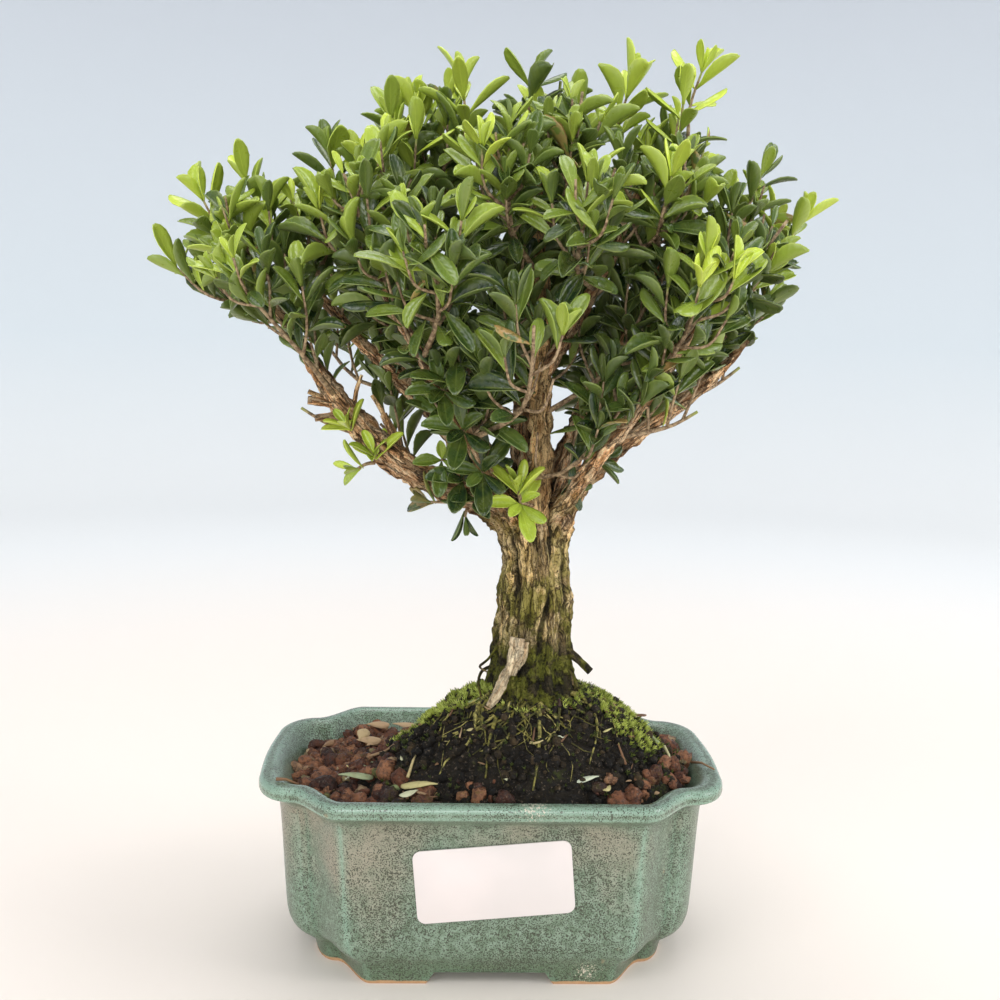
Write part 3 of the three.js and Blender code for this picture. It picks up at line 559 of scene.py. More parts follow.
def ring_faces(rings, sides):
    """The faces between rings of points, and a cap at each end."""
    faces = []
    for ring in range(rings - 1):
        for side in range(sides):
            a, b = ring * sides + side, ring * sides + (side + 1) % sides
            faces.append((a, b, b + sides, a + sides))
    top = (rings - 1) * sides
    return [*faces, tuple(reversed(range(sides))), tuple(range(top, top + sides))]


def tube(points, radii, sides, shape=None):
    """A closed tube through points. shape(ring, side) gives each point's share of the radius."""
    points = [Vector(point) for point in points]
    across = square_to((points[1] - points[0]).normalized())
    corners = []
    for ring, point in enumerate(points):
        along = (points[min(ring + 1, len(points) - 1)] - points[max(ring - 1, 0)]).normalized()
        across = flattened(across, along)
        up = along.cross(across)
        for side in range(sides):
            turn = side / sides * 2 * math.pi
            reach = radii[ring] * (shape(ring, side) if shape else 1)
            corners.append(point + across * (reach * math.cos(turn)) + up * (reach * math.sin(turn)))
    return np.array(corners), ring_faces(len(points), sides)


def add_tube(stack, points, radii, sides, slot=0, **values):
    """Adds a plain round tube."""
    stack.add(*tube(points, radii, sides), slot, **values)


def clear_selection():
    """Leaves edit mode and selects nothing."""
    if bpy.context.object and bpy.context.object.mode != "OBJECT":
        bpy.ops.object.mode_set(mode="OBJECT")
    bpy.ops.object.select_all(action="DESELECT")


def take_active(name):
    """Names the object that an operator has just added, and returns it."""
    piece = bpy.context.object
    piece.name = name
    piece.data.name = name
    return piece


def settle(piece):
    """Puts a piece's place, turn and size into its mesh."""
    clear_selection()
    piece.select_set(True)
    bpy.context.view_layer.objects.active = piece
    bpy.ops.object.transform_apply(location=True, rotation=True, scale=True)


def apply_modifier(piece, kind, **settings):
    """Adds a modifier with its settings and applies it."""
    bpy.context.view_layer.objects.active = piece
    modifier = piece.modifiers.new(kind.title(), kind)
    for name, value in settings.items():
        setattr(modifier, name, value)
    bpy.ops.object.modifier_apply(modifier=modifier.name)


def dress(piece, slot, finishes, *nodes):
    """Gives a piece its finishes and its body, and hides the model's nodes that it stands for."""
    kept = piece.data.materials
    for place, finish in enumerate(finishes):
        if place < len(kept):
            kept[place] = finish
        else:
            kept.append(finish)
    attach(piece, BODY)
    if nodes:
        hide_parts(*nodes)
    return piece


# Finishes


class Finish:
    """A node material that is being put together."""

    def __init__(self, name):
        self.material = bpy.data.materials.new(name)
        self.material.use_nodes = True
        self.tree = self.material.node_tree
        self.tree.nodes.clear()
        self.shader = self.add("ShaderNodeBsdfPrincipled")
        output = self.add("ShaderNodeOutputMaterial")
        self.tree.links.new(self.shader.outputs["BSDF"], output.inputs["Surface"])
        self.place = self.add("ShaderNodeTexCoord").outputs["Object"]

    def add(self, kind, settings=None, **inputs):
        """Adds a node. An input's name is the socket's, or its number after a low line."""
        node = self.tree.nodes.new(kind)
        for name, value in (settings or {}).items():
            setattr(node, name, value)
        for name, value in inputs.items():
            self.put(node, name, value)
        return node

    def put(self, node, name, value):
        """Links a socket to a node's input, or sets the input's own value."""
        socket = node.inputs[int(name[1:])] if name[0] == "_" else node.inputs[name.replace("_", " ")]
        if isinstance(value, bpy.types.NodeSocket):
            self.tree.links.new(value, socket)
        elif socket.type == "RGBA" and len(value) == 3:
            socket.default_value = (*value, 1)
        else:
            socket.default_value = value

    def mark(self, name):
        """A number stored at the mesh's points."""
        return self.add("ShaderNodeAttribute", {"attribute_name": name}).outputs["Fac"]

    def maths(self, operation, *values):
        """The result of one operation on numbers."""
        inputs = {f"_{index}": value for index, value in enumerate(values)}
        return self.add("ShaderNodeMath", {"operation": operation}, **inputs).outputs[0]

    def times(self, *values):
        """One number times another."""
        return self.maths("MULTIPLY", *values)

    def plus(self, *values):
        """The sum of two numbers."""
        return self.maths("ADD", *values)

    def minus(self, *values):
        """One number less another."""
        return self.maths("SUBTRACT", *values)

    def larger(self, *values):
        """The larger of two numbers."""
        return self.maths("MAXIMUM", *values)

    def vector(self, operation, *values):
        """The node of one operation on vectors."""
        inputs = {f"_{index}": value for index, value in enumerate(values)}
        return self.add("ShaderNodeVectorMath", {"operation": operation}, **inputs)

    def spread(self, value, low, high, to_low=0.0, to_high=1.0):
        """A smooth passage from to_low at low to to_high at high."""
        settings = {"clamp": True, "interpolation_type": "SMOOTHSTEP"}
        node = self.add("ShaderNodeMapRange", settings, Value=value, From_Min=low, From_Max=high)
        self.put(node, "To_Min", to_low)
        self.put(node, "To_Max", to_high)
        return node.outputs[0]

    def noise(self, scale, detail=4.0, rough=0.55, place=None, distortion=0.0):
        """Cloudy noise from zero to one."""
        node = self.add(
            "ShaderNodeTexNoise", Vector=place or self.place, Scale=scale, Detail=detail,
            Roughness=rough, Distortion=distortion,
        )
        return node.outputs["Fac"]

    def cells(self, scale, feature="F1", place=None, output="Distance"):
        """A pattern of cells, each round its own point."""
        settings = {"feature": feature}
        node = self.add("ShaderNodeTexVoronoi", settings, Vector=place or self.place, Scale=scale)
        return node.outputs[output]

    def stretched(self, scale):
        """Object coordinates, scaled."""
        return self.add("ShaderNodeMapping", Vector=self.place, Scale=scale).outputs[0]

    def height(self):
        """The height above the surface, in metres."""
        return self.add("ShaderNodeSeparateXYZ", Vector=self.place).outputs["Z"]

    def across(self):
        """The place from left to right, in metres."""
        return self.add("ShaderNodeSeparateXYZ", Vector=self.place).outputs["X"]

    def near(self, middle, reach):
        """One at a point, zero past its reach, both in millimetres."""
        away = self.vector("DISTANCE", self.place, tuple(to_row(middle))).outputs["Value"]
        return self.spread(away, 0.0, reach * MM, 1.0, 0.0)

    def blend(self, share, low, high, mode="MIX"):
        """One colour laid over another by a share."""
        node = self.add("ShaderNodeMix", {"data_type": "RGBA", "blend_type": mode})
        for index, value in ((0, share), (6, low), (7, high)):
            self.put(node, f"_{index}", value)
        return node.outputs[2]

    def ramp(self, value, *stops):
        """The colour at a value between stops, each a position and a colour."""
        node = self.add("ShaderNodeValToRGB", Fac=value)
        elements = node.color_ramp.elements
        elements[0].position, elements[1].position = stops[0][0], stops[-1][0]
        elements[0].color, elements[1].color = (*stops[0][1], 1), (*stops[-1][1], 1)
        for position, colour in stops[1:-1]:
            elements.new(position).color = (*colour, 1)
        return node.outputs["Color"]

    def bump(self, height, strength, distance, under=None):
        """Fine relief, on top of the relief under it."""
        node = self.add("ShaderNodeBump", Height=height, Strength=strength, Distance=distance)
        if under:
            self.put(node, "Normal", under)
        return node.outputs[0]

    def done(self, **inputs):
        """Sets the shader's inputs and returns the material."""
        for name, value in inputs.items():
            self.put(self.shader, name, value)
        return self.material


def glaze_finish(look):
    """Speckled celadon glaze: pinker near the lip, greener low down, turquoise where it thins."""
    finish = Finish("speckled_glaze")
    height = finish.height()
    cloud = finish.noise(26, 3, 0.6)
    warmth = finish.spread(height, 0.014, 0.044, -0.16, 0.10)
    warmth = finish.plus(warmth, finish.spread(finish.across(), 0.05, -0.05, -0.05, 0.09))
    warmth = finish.plus(cloud, warmth)
    grain = finish.noise(520, 3, 0.7)
    base = finish.blend(finish.spread(grain, 0.38, 0.62), look.glaze, look.turquoise)
    pink = finish.spread(finish.plus(warmth, finish.times(grain, 0.25)), 0.55, 0.85, 0.0, 0.9)
    pink = finish.times(pink, finish.spread(height, 0.0475, 0.0445))
    base = finish.blend(pink, base, look.pool)
    edge = finish.spread(finish.mark("edge"), 0.06, 0.42, 0.0, 0.85)
    base = finish.blend(edge, base, look.edge)
    thick = finish.spread(finish.mark("edge"), -0.10, -0.45, 0.0, 0.55)
    base = finish.blend(thick, base, (0.13, 0.24, 0.16))
    low_down = finish.spread(height, 0.012, 0.004, 0.0, 0.6)
    base = finish.blend(low_down, base, (0.085, 0.135, 0.062))
    flecks = finish.noise(2700, 2, 0.5, distortion=0.1)
    crowd = finish.spread(finish.noise(60, 2), 0.3, 0.7, -0.035, 0.03)
    crowd = finish.minus(crowd, finish.times(edge, 0.07))
    crowd = finish.minus(crowd, finish.times(pink, 0.02))
    dark = finish.spread(finish.plus(flecks, crowd), 0.465, 0.60, 0.0, look.speckle)
    base = finish.blend(dark, base, look.fleck)
    blots = finish.spread(finish.noise(700, 1, 0.4), 0.72, 0.78, 0.0, 0.7)
    base = finish.blend(blots, base, (0.05, 0.045, 0.025))
    rust = finish.spread(finish.noise(140, 2, 0.5), 0.73, 0.78, 0.0, 0.5)
    base = finish.blend(rust, base, (0.42, 0.25, 0.12))
    chalk = finish.larger(finish.near((10.5, -41.5, 52), 8), finish.near((25.5, -32, 4), 6))
    chalk = finish.times(chalk, 0.21)
    chalk = finish.spread(finish.plus(chalk, finish.noise(1700, 3, 0.7)), 0.68, 0.76, 0.0, 0.8)
    base = finish.blend(chalk, base, (0.74, 0.66, 0.52))
    ragged = finish.plus(height, finish.times(finish.noise(300, 2), 0.0008))
    bare = finish.spread(ragged, 0.0010, 0.0014, 1.0, 0.0)
    clay = finish.blend(finish.noise(700, 3), (0.40, 0.20, 0.09), (0.60, 0.38, 0.20))
    colour = finish.blend(bare, base, clay)
    shine = finish.spread(grain, 0.3, 0.7, 0.30, 0.48)
    shine = finish.minus(shine, finish.times(edge, 0.22))
    shine = finish.larger(shine, finish.times(finish.larger(bare, chalk), 0.85))
    relief = finish.bump(finish.noise(210, 3), 0.25, 0.0006)
    relief = finish.bump(flecks, 0.10, 0.0002, relief)
    return finish.done(
        Base_Color=colour, Roughness=shine, Normal=relief, Coat_Weight=0.12, Coat_Roughness=0.1,
    )


def paper_finish(look):
    """Matt white paper with faint clouds and fibres."""
    finish = Finish("label_paper")
    fibres = finish.noise(2600, 3, 0.7, place=finish.stretched((1.0, 1.0, 2.4)))
    shade = finish.noise(35, 2)
    colour = finish.blend(finish.spread(shade, 0.35, 0.7), look.paper, (0.78, 0.715, 0.685))
    colour = finish.blend(finish.times(fibres, 0.12), colour, (0.70, 0.67, 0.66))
    sheen = finish.spread(fibres, 0.3, 0.7, 0.38, 0.55)
    return finish.done(Base_Color=colour, Roughness=sheen, Normal=finish.bump(fibres, 0.12, 0.0001))


def screen_finish():
    """Scuffed black plastic."""
    finish = Finish("drain_mesh_plastic")
    scuff = finish.noise(500, 4, 0.7)
    colour = finish.blend(finish.spread(scuff, 0.4, 0.7), (0.018, 0.02, 0.019), (0.07, 0.06, 0.05))
    rough = finish.spread(scuff, 0.3, 0.7, 0.45, 0.75)
    return finish.done(Base_Color=colour, Roughness=rough, Normal=finish.bump(scuff, 0.2, 0.0003))


def soil_finish(name, stops, grit_size, dry=0.75):
    """Crumbly soil, each crumb with its own colour, darkened in its pores by painted shade and flecked with
    painted glints.
    """
    finish = Finish(name)
    grit = finish.noise(grit_size, 4, 0.7)
    colour = finish.ramp(finish.mark("tone"), *stops)
    # Painted shade: the colour is darkened where the fine grit noise is low, standing in for shade in the
    # pores.
    shade = finish.blend(1.0, colour, (0.28, 0.26, 0.26), "MULTIPLY")
    colour = finish.blend(finish.spread(grit, 0.54, 0.38, 0.0, 0.9), colour, shade)
    # Painted highlights: pale glints laid on the colour in specks from fine noise.
    painted_glint = finish.blend(0.5, colour, (0.55, 0.42, 0.30))
    colour = finish.blend(finish.spread(finish.noise(1300, 2), 0.60, 0.74, 0.0, 0.5), colour, painted_glint)
    moss = finish.spread(finish.noise(75, 3), 0.58, 0.66)
    moss = finish.times(moss, finish.spread(grit, 0.45, 0.6, 0.0, 0.6))
    colour = finish.blend(moss, colour, (0.06, 0.075, 0.013))
    relief = finish.bump(finish.noise(330, 3, 0.6), 1.0, 0.0018)
    relief = finish.bump(grit, 1.0, 0.0009, relief)
    rough = finish.spread(grit, 0.35, 0.65, dry, 0.95)
    return finish.done(Base_Color=colour, Roughness=rough, Normal=relief, Specular_IOR_Level=0.4)


def bark_finish(look):
    """Corky bark that runs along the wood: dark cracks, crevices darkened with painted shade, olive algae low
    down, redder limbs.
    """
    finish = Finish("corky_bark")
    hollow, pale = finish.mark("hollow"), finish.mark("pale")

    def where_common(rest):
        """One on common bark, down to rest on the palest."""
        return finish.spread(pale, 0.6, 1.0, 1.0, rest)

    height = finish.height()
    flow = finish.add("ShaderNodeAttribute", {"attribute_name": "flow"}).outputs["Vector"]
    long_flow = finish.add("ShaderNodeMapping", Vector=flow, Scale=(1.0, 1.0, 0.22)).outputs[0]
    streaks = finish.noise(0.8, 5, 0.7, place=long_flow, distortion=0.3)
    fibres = finish.noise(3.2, 3, 0.6, place=long_flow)
    flakes = finish.noise(0.5, 4, 0.7, place=flow, distortion=0.8)
    wobble = finish.add("ShaderNodeTexNoise", Vector=long_flow, Scale=0.8, Detail=3.0).outputs["Color"]
    bent = finish.vector("MULTIPLY_ADD", wobble, (3.4, 3.4, 3.4), long_flow).outputs[0]
    plate = finish.cells(0.42, place=bent, output="Color")
    gaps = finish.spread(finish.cells(0.42, "DISTANCE_TO_EDGE", bent), 0.07, 0.0)
    colour = finish.ramp(streaks, (0.33, look.bark_dark), (0.43, look.bark), (0.57, look.bark_light))
    limb = finish.spread(height, 0.112, 0.122)
    rust = finish.ramp(streaks, (0.36, (0.06, 0.026, 0.013)), (0.45, look.limb), (0.58, look.limb_light))
    colour = finish.blend(finish.times(limb, finish.spread(pale, 0.9, 0.2, 0.15, 0.85)), colour, rust)
    worn = finish.spread(streaks, 0.35, 0.6)
    tan = finish.blend(worn, (0.50, 0.28, 0.11), (1.0, 0.70, 0.34))
    cream = finish.blend(worn, (0.85, 0.60, 0.37), (1.0, 0.86, 0.61))
    bleached = finish.blend(finish.spread(pale, 0.75, 1.0), tan, cream)
    colour = finish.blend(finish.spread(pale, 0.2, 0.7, 0.0, 0.85), colour, bleached)
    dark_fibres = finish.times(finish.spread(fibres, 0.5, 0.7, 0.0, 0.45), where_common(0.3))
    colour = finish.blend(dark_fibres, colour, look.bark_dark)
    shades = finish.ramp(
        plate, (0.25, (0.58, 0.52, 0.46)), (0.55, (1.05, 1.05, 1.05)), (0.8, (1.6, 1.5, 1.4)),
    )
    colour = finish.blend(where_common(0.35), colour, shades, "MULTIPLY")
    low_down = finish.spread(height, 0.120, 0.085, 0.45, 0.95)
    algae = finish.times(finish.spread(finish.noise(120, 4, 0.6), 0.43, 0.55), low_down)
    algae = finish.times(algae, finish.spread(height, 0.135, 0.118, 0.12, 1.0))
    algae = finish.times(algae, finish.spread(pale, 0.3, 0.8, 1.0, 0.1))
    green = finish.blend(streaks, tuple(0.35 * c for c in look.algae), tuple(1.7 * c for c in look.algae))
    colour = finish.blend(algae, colour, green)
    cracks = finish.spread(flakes, 0.485, 0.5, 0.0, 1.0)
    cracks = finish.times(cracks, finish.spread(flakes, 0.52, 0.5, 0.0, 0.8))
    cracks = finish.larger(cracks, finish.times(gaps, 0.75))
    cracks = finish.times(cracks, where_common(0.45))
    colour = finish.blend(cracks, colour, (0.035, 0.016, 0.008))
    # Painted shade: the colour darkens with the hollow mark, that is, with how deep the point lies in a
    # crevice of the shape.
    dark = finish.times(finish.spread(hollow, 0.42, 0.95, 0.0, 0.9), where_common(0.5))
    colour = finish.blend(dark, colour, (0.022, 0.016, 0.007))
    wet = finish.plus(height, finish.times(finish.noise(140, 3), 0.014))
    damp = finish.spread(wet, 0.104, 0.086, 0.0, 0.92)
    damp = finish.times(damp, finish.spread(pale, 0.3, 0.7, 1.0, 0.0))
    clots = finish.spread(finish.noise(260, 3, 0.6), 0.44, 0.56)
    colour = finish.blend(damp, colour, finish.blend(clots, (0.013, 0.010, 0.005), (0.125, 0.13, 0.014)))
    relief = finish.bump(finish.minus(streaks, cracks), 1.0, 0.0016)
    relief = finish.bump(plate, 0.7, 0.0012, relief)
    relief = finish.bump(clots, finish.times(damp, 0.9), 0.002, relief)
    relief = finish.bump(fibres, 0.6, 0.0004, relief)
    rough = finish.spread(streaks, 0.3, 0.7, 0.75, 0.95)
    return finish.done(Base_Color=colour, Roughness=rough, Normal=relief, Specular_IOR_Level=0.3)


def twig_finish():
    """Thin tan stems with darker streaks, green only where they are newest."""
    finish = Finish("twig_bark")
    age = finish.mark("age")
    streak = finish.noise(900, 3, 0.6)
    old = finish.blend(finish.spread(streak, 0.35, 0.65), (0.13, 0.075, 0.035), (0.46, 0.33, 0.19))
    colour = finish.blend(finish.spread(age, 0.45, 0.9), old, (0.30, 0.34, 0.08))
    relief = finish.bump(streak, 0.5, 0.0003)
    return finish.done(Base_Color=colour, Roughness=finish.spread(streak, 0.3, 0.7, 0.6, 0.85), Normal=relief)


def leaf_finish(look):
    """Satin leaves: dark when old and, as painted shade, deep in the crown; yellow-green when young; with a
    fine midrib and a pale edge that is partly a painted highlight.
    """
    finish = Finish("boxwood_leaf")
    age, chance, under = finish.mark("age"), finish.mark("chance"), finish.mark("under")
    across, along = finish.mark("across"), finish.mark("along")
    colour = finish.ramp(
        age, (0.0, look.leaf_dark), (0.34, look.leaf), (0.66, look.leaf_fresh), (1.0, look.leaf_young),
    )
    cool = finish.spread(chance, 0.6, 0.95, 0.0, 0.35)
    colour = finish.blend(finish.times(cool, finish.spread(age, 0.5, 0.1)), colour, (0.030, 0.066, 0.030))
    patch = finish.spread(finish.noise(260, 3), 0.38, 0.66, 0.0, 0.35)
    colour = finish.blend(patch, colour, finish.blend(0.55, colour, (0.30, 0.34, 0.05)))
    side = finish.maths("ABSOLUTE", across)
    rib = finish.times(finish.spread(side, 0.02, 0.11, 1.0, 0.0), finish.spread(along, 1.0, 0.4, 0.1, 0.55))
    # The pale edge is partly the leaf's own paler margin, partly a painted highlight along it.
    rim = finish.spread(side, 0.86, 1.0, 0.0, 0.6)
    light = finish.blend(0.5, finish.blend(1.0, colour, (2.2, 2.1, 2.0), "MULTIPLY"), (0.34, 0.40, 0.10))
    colour = finish.blend(finish.larger(rib, rim), colour, light)
    base = finish.spread(along, 0.22, 0.0, 0.0, 0.4)
    colour = finish.blend(base, colour, light)
    brown = finish.spread(finish.noise(420, 2), 0.42, 0.55)
    brown = finish.times(finish.spread(chance, 0.982, 0.99), brown)
    colour = finish.blend(brown, colour, (0.42, 0.26, 0.09))
    pale = finish.blend(0.35, colour, (0.15, 0.20, 0.045))
    colour = finish.blend(under, colour, pale)
    veins = finish.times(finish.minus(along, finish.times(side, 0.28)), 46.0)
    rough = finish.spread(finish.noise(500, 3), 0.3, 0.7, 0.17, 0.30)
    rough = finish.plus(rough, finish.times(under, 0.1))
    relief = finish.bump(finish.maths("SINE", veins), 0.1, 0.0002)
    relief = finish.bump(finish.noise(1400, 2), 0.12, 0.0002, relief)
    return finish.done(Base_Color=colour, Roughness=rough, Normal=relief, Specular_IOR_Level=0.6)


def moss_finish(look):
    """Moss, dark at its foot and yellow-green at its tips."""
    finish = Finish("cushion_moss")
    tone = finish.mark("tone")
    colour = finish.ramp(
        tone, (0.0, (0.035, 0.05, 0.008)), (0.15, (0.07, 0.095, 0.012)), (0.5, look.moss),
        (1.0, look.moss_tip),
    )
    speck = finish.noise(1600, 2)
    colour = finish.blend(finish.spread(speck, 0.5, 0.7, 0.0, 0.4), colour, (0.36, 0.42, 0.06))
    rough = finish.spread(speck, 0.3, 0.7, 0.7, 0.9)
    return finish.done(Base_Color=colour, Roughness=rough, Normal=finish.bump(speck, 0.3, 0.0003))


def litter_finish():
    """Dry fallen leaves and bits: brown, tan, cream and pale green."""
    finish = Finish("dry_litter")
    tone = finish.mark("tone")
    colour = finish.ramp(
        tone, (0.0, (0.045, 0.022, 0.02)), (0.25, (0.22, 0.11, 0.05)), (0.5, (0.50, 0.34, 0.19)),
        (0.72, (0.62, 0.55, 0.24)), (0.86, (0.66, 0.70, 0.52)), (1.0, (0.20, 0.26, 0.07)),
    )
    blotch = finish.noise(420, 4, 0.65)
    colour = finish.blend(finish.spread(blotch, 0.5, 0.72, 0.0, 0.35), colour, (0.20, 0.13, 0.05))
    rough = finish.spread(blotch, 0.3, 0.7, 0.6, 0.85)
    return finish.done(Base_Color=colour, Roughness=rough, Normal=finish.bump(blotch, 0.35, 0.0005))


def root_finish():
    """Olive-yellow surface roots with dark, mossy streaks."""
    finish = Finish("surface_roots")
    tone = finish.mark("tone")
    streak = finish.noise(650, 3, 0.65)
    colour = finish.ramp(
        tone, (0.0, (0.03, 0.028, 0.008)), (0.6, (0.22, 0.19, 0.03)), (1.0, (0.50, 0.43, 0.13)),
    )
    colour = finish.blend(finish.spread(streak, 0.42, 0.58, 0.0, 0.85), colour, (0.028, 0.030, 0.006))
    relief = finish.bump(streak, 0.6, 0.0005)
    return finish.done(Base_Color=colour, Roughness=finish.spread(streak, 0.3, 0.7, 0.6, 0.85), Normal=relief)


def studio_finish(look):
    """Pale floor that turns a little bluer and greyer up the wall."""
    finish = Finish("studio_floor")
    height = finish.height()
    cloud = finish.noise(3, 2)
    rise = finish.maths("DIVIDE", height, 0.75)
    colour = finish.ramp(rise, (0.0, (0.93, 0.93, 0.915)), (0.22, look.wall_low), (1.0, look.wall))
    away = finish.vector("LENGTH", finish.place).outputs["Value"]
    colour = finish.blend(finish.spread(away, 0.75, 0.25), colour, look.floor)
    colour = finish.blend(finish.times(cloud, 0.03), colour, (0.7, 0.68, 0.66))
    return finish.done(Base_Color=colour, Roughness=finish.spread(cloud, 0.3, 0.7, 0.7, 0.8))


# Settings


def colour_setting(name, description, default):
    """A colour that the user can change."""
    return bpy.props.FloatVectorProperty(
        name=name, description=description, default=default, subtype="COLOR", size=3, min=0, max=1,
    )


class BonsaiPotSettings(bpy.types.PropertyGroup):
    """The pot's glaze and the label's paper"""

    glaze: colour_setting("Glaze", "Main colour of the pot's glaze", (0.150, 0.216, 0.142))
    turquoise: colour_setting("Fine grain", "Turquoise grain in the glaze", (0.25, 0.34, 0.25))
    pool: colour_setting("Pooled glaze", "Pinkish glaze near the lip", (0.345, 0.305, 0.225))
    edge: colour_setting("Edge", "Glaze colour where it thins over an edge", (0.27, 0.40, 0.30))
    fleck: colour_setting("Flecks", "Colour of the dark flecks", (0.045, 0.048, 0.028))
    speckle: bpy.props.FloatProperty(
        name="Fleck strength", description="How dark the flecks are", default=0.93, min=0, max=1,
        subtype="FACTOR",
    )
    paper: colour_setting("Label", "Colour of the blank paper label", (0.87, 0.78, 0.75))


class BonsaiSoilSettings(bpy.types.PropertyGroup):
    """The soil, its granules and the moss"""

    granules: bpy.props.IntProperty(
        name="Granules", description="Number of soil granules", default=950, min=100, max=4000,
    )
    crumbs: bpy.props.IntProperty(
        name="Peat crumbs", description="Number of peat crumbs on the mound", default=2100, min=100, max=4000,
    )
    granule_size: bpy.props.FloatProperty(
        name="Granule size", description="Middle radius of a granule", default=1.6 * MM, min=0.5 * MM,
        max=4 * MM, unit="LENGTH", subtype="DISTANCE",
    )
    granule: colour_setting("Granules", "Middle colour of the granules", (0.26, 0.108, 0.053))
    moss: colour_setting("Moss", "Main colour of the moss", (0.34, 0.40, 0.05))
    moss_tip: colour_setting("Moss tips", "Colour of the moss tips", (0.70, 0.77, 0.19))
    tufts: bpy.props.IntProperty(
        name="Moss tufts", description="Number of moss tufts", default=2900, min=0, max=4000,
    )


class BonsaiWoodSettings(bpy.types.PropertyGroup):
    """The bark of the trunk and the limbs"""

    bark: colour_setting("Bark", "Main colour of the bark", (0.42, 0.30, 0.11))
    bark_light: colour_setting("Pale bark", "Bark colour on its worn ridges", (0.90, 0.70, 0.37))
    bark_dark: colour_setting("Dark bark", "Bark colour in its shallow furrows", (0.065, 0.043, 0.014))
    limb: colour_setting("Limb bark", "Reddish bark of the limbs", (0.52, 0.255, 0.115))
    limb_light: colour_setting("Pale limb bark", "Limb bark on its worn ridges", (0.92, 0.68, 0.44))
    algae: colour_setting("Algae", "Green film on the trunk", (0.22, 0.20, 0.025))
    crevice: bpy.props.FloatProperty(
        name="Crevice depth", description="Depth of the gaps between the trunk's ridges", default=1.25 * MM,
        min=0, max=4 * MM, unit="LENGTH", subtype="DISTANCE",
    )


class BonsaiCrownSettings(bpy.types.PropertyGroup):
    """The leaves and their shoots"""

    leaf_length: bpy.props.FloatProperty(
        name="Leaf length", description="Middle length of a leaf", default=11.6 * MM, min=4 * MM, max=25 * MM,
        unit="LENGTH", subtype="DISTANCE",
    )
    leaf_width: bpy.props.FloatProperty(
        name="Leaf width", description="Width of a leaf as a share of its length", default=0.33, min=0.15,
        max=0.8, subtype="FACTOR",
    )
    shoots: bpy.props.IntProperty(
        name="Side shoots", description="Side shoots on a spray", default=8, min=0, max=12,
    )
    leaf_dark: colour_setting("Old leaf", "Colour of the oldest leaves", (0.018, 0.040, 0.010))
    leaf: colour_setting("Leaf", "Colour of grown leaves", (0.092, 0.150, 0.024))
    leaf_fresh: colour_setting("Fresh leaf", "Colour of leaves near the tips", (0.42, 0.54, 0.055))
    leaf_young: colour_setting("Young leaf", "Colour of the newest leaves", (0.64, 0.76, 0.08))


class BonsaiStudioSettings(bpy.types.PropertyGroup):
    """The floor, the wall and the camera"""

    floor: colour_setting("Floor", "Colour of the floor", (0.93, 0.84, 0.76))
    wall_low: colour_setting("Wall foot", "Colour at the foot of the wall", (0.77, 0.82, 0.845))
    wall: colour_setting("Wall", "Colour of the wall higher up", (0.60, 0.625, 0.675))
    lens: bpy.props.FloatProperty(
        name="Lens", description="Focal length of the camera", default=45.57, min=20, max=200,
        subtype="DISTANCE_CAMERA",
    )


SETTINGS = {
    "bonsai_pot": BonsaiPotSettings,
    "bonsai_soil": BonsaiSoilSettings,
    "bonsai_wood": BonsaiWoodSettings,
    "bonsai_crown": BonsaiCrownSettings,
    "bonsai_studio": BonsaiStudioSettings,
}


# Pot and label


def ring_piece(name, rows, step_cuts, corner_cuts):
    """Draws the first outline and pulls it up row by row into a closed body."""
    outline = [pot_outline(*plan, step_cuts, corner_cuts) for _, *plan in rows]
    clear_selection()
    bpy.ops.mesh.primitive_circle_add(vertices=len(outline[0]), radius=RIM_HALF[0] * MM, fill_type="NGON")
    piece = take_active(name)
    bpy.ops.object.mode_set(mode="EDIT")
    bpy.ops.mesh.select_all(action="DESELECT")
    shape = bmesh.from_edit_mesh(piece.data)
    shape.verts.ensure_lookup_table()
    ring = list(shape.verts)
    for vertex, (x, y) in zip(ring, outline[0]):
        vertex.co = to_row((x, y, rows[0][0]))
    for edge in shape.edges:
        edge.select_set(True)
    for (z, *_), points in zip(rows[1:], outline[1:]):
        bpy.ops.mesh.extrude_edges_move()
        shape = bmesh.from_edit_mesh(piece.data)
        raised = [vertex for vertex in shape.verts if vertex.select]
        raised.sort(key=lambda vertex: vertex.index)
        for vertex, (x, y) in zip(raised, points):
            vertex.co = to_row((x, y, z))
        bmesh.update_edit_mesh(piece.data)
    bpy.ops.mesh.edge_face_add()
    bpy.ops.mesh.select_all(action="SELECT")
    bpy.ops.mesh.normals_make_consistent(inside=False)
    bpy.ops.object.mode_set(mode="OBJECT")
    return piece


def cutter(kind, place, size):
    """A block or a cylinder, in millimetres, to cut with."""
    clear_selection()
    if kind == "block":
        bpy.ops.mesh.primitive_cube_add(size=1, location=to_row(place), scale=np.array(size) * MM)
    else:
        bpy.ops.mesh.primitive_cylinder_add(
            vertices=48, radius=size[0] * MM, depth=size[2] * MM, location=to_row(place),
        )
    piece = take_active("cutter")
    settle(piece)
    return piece


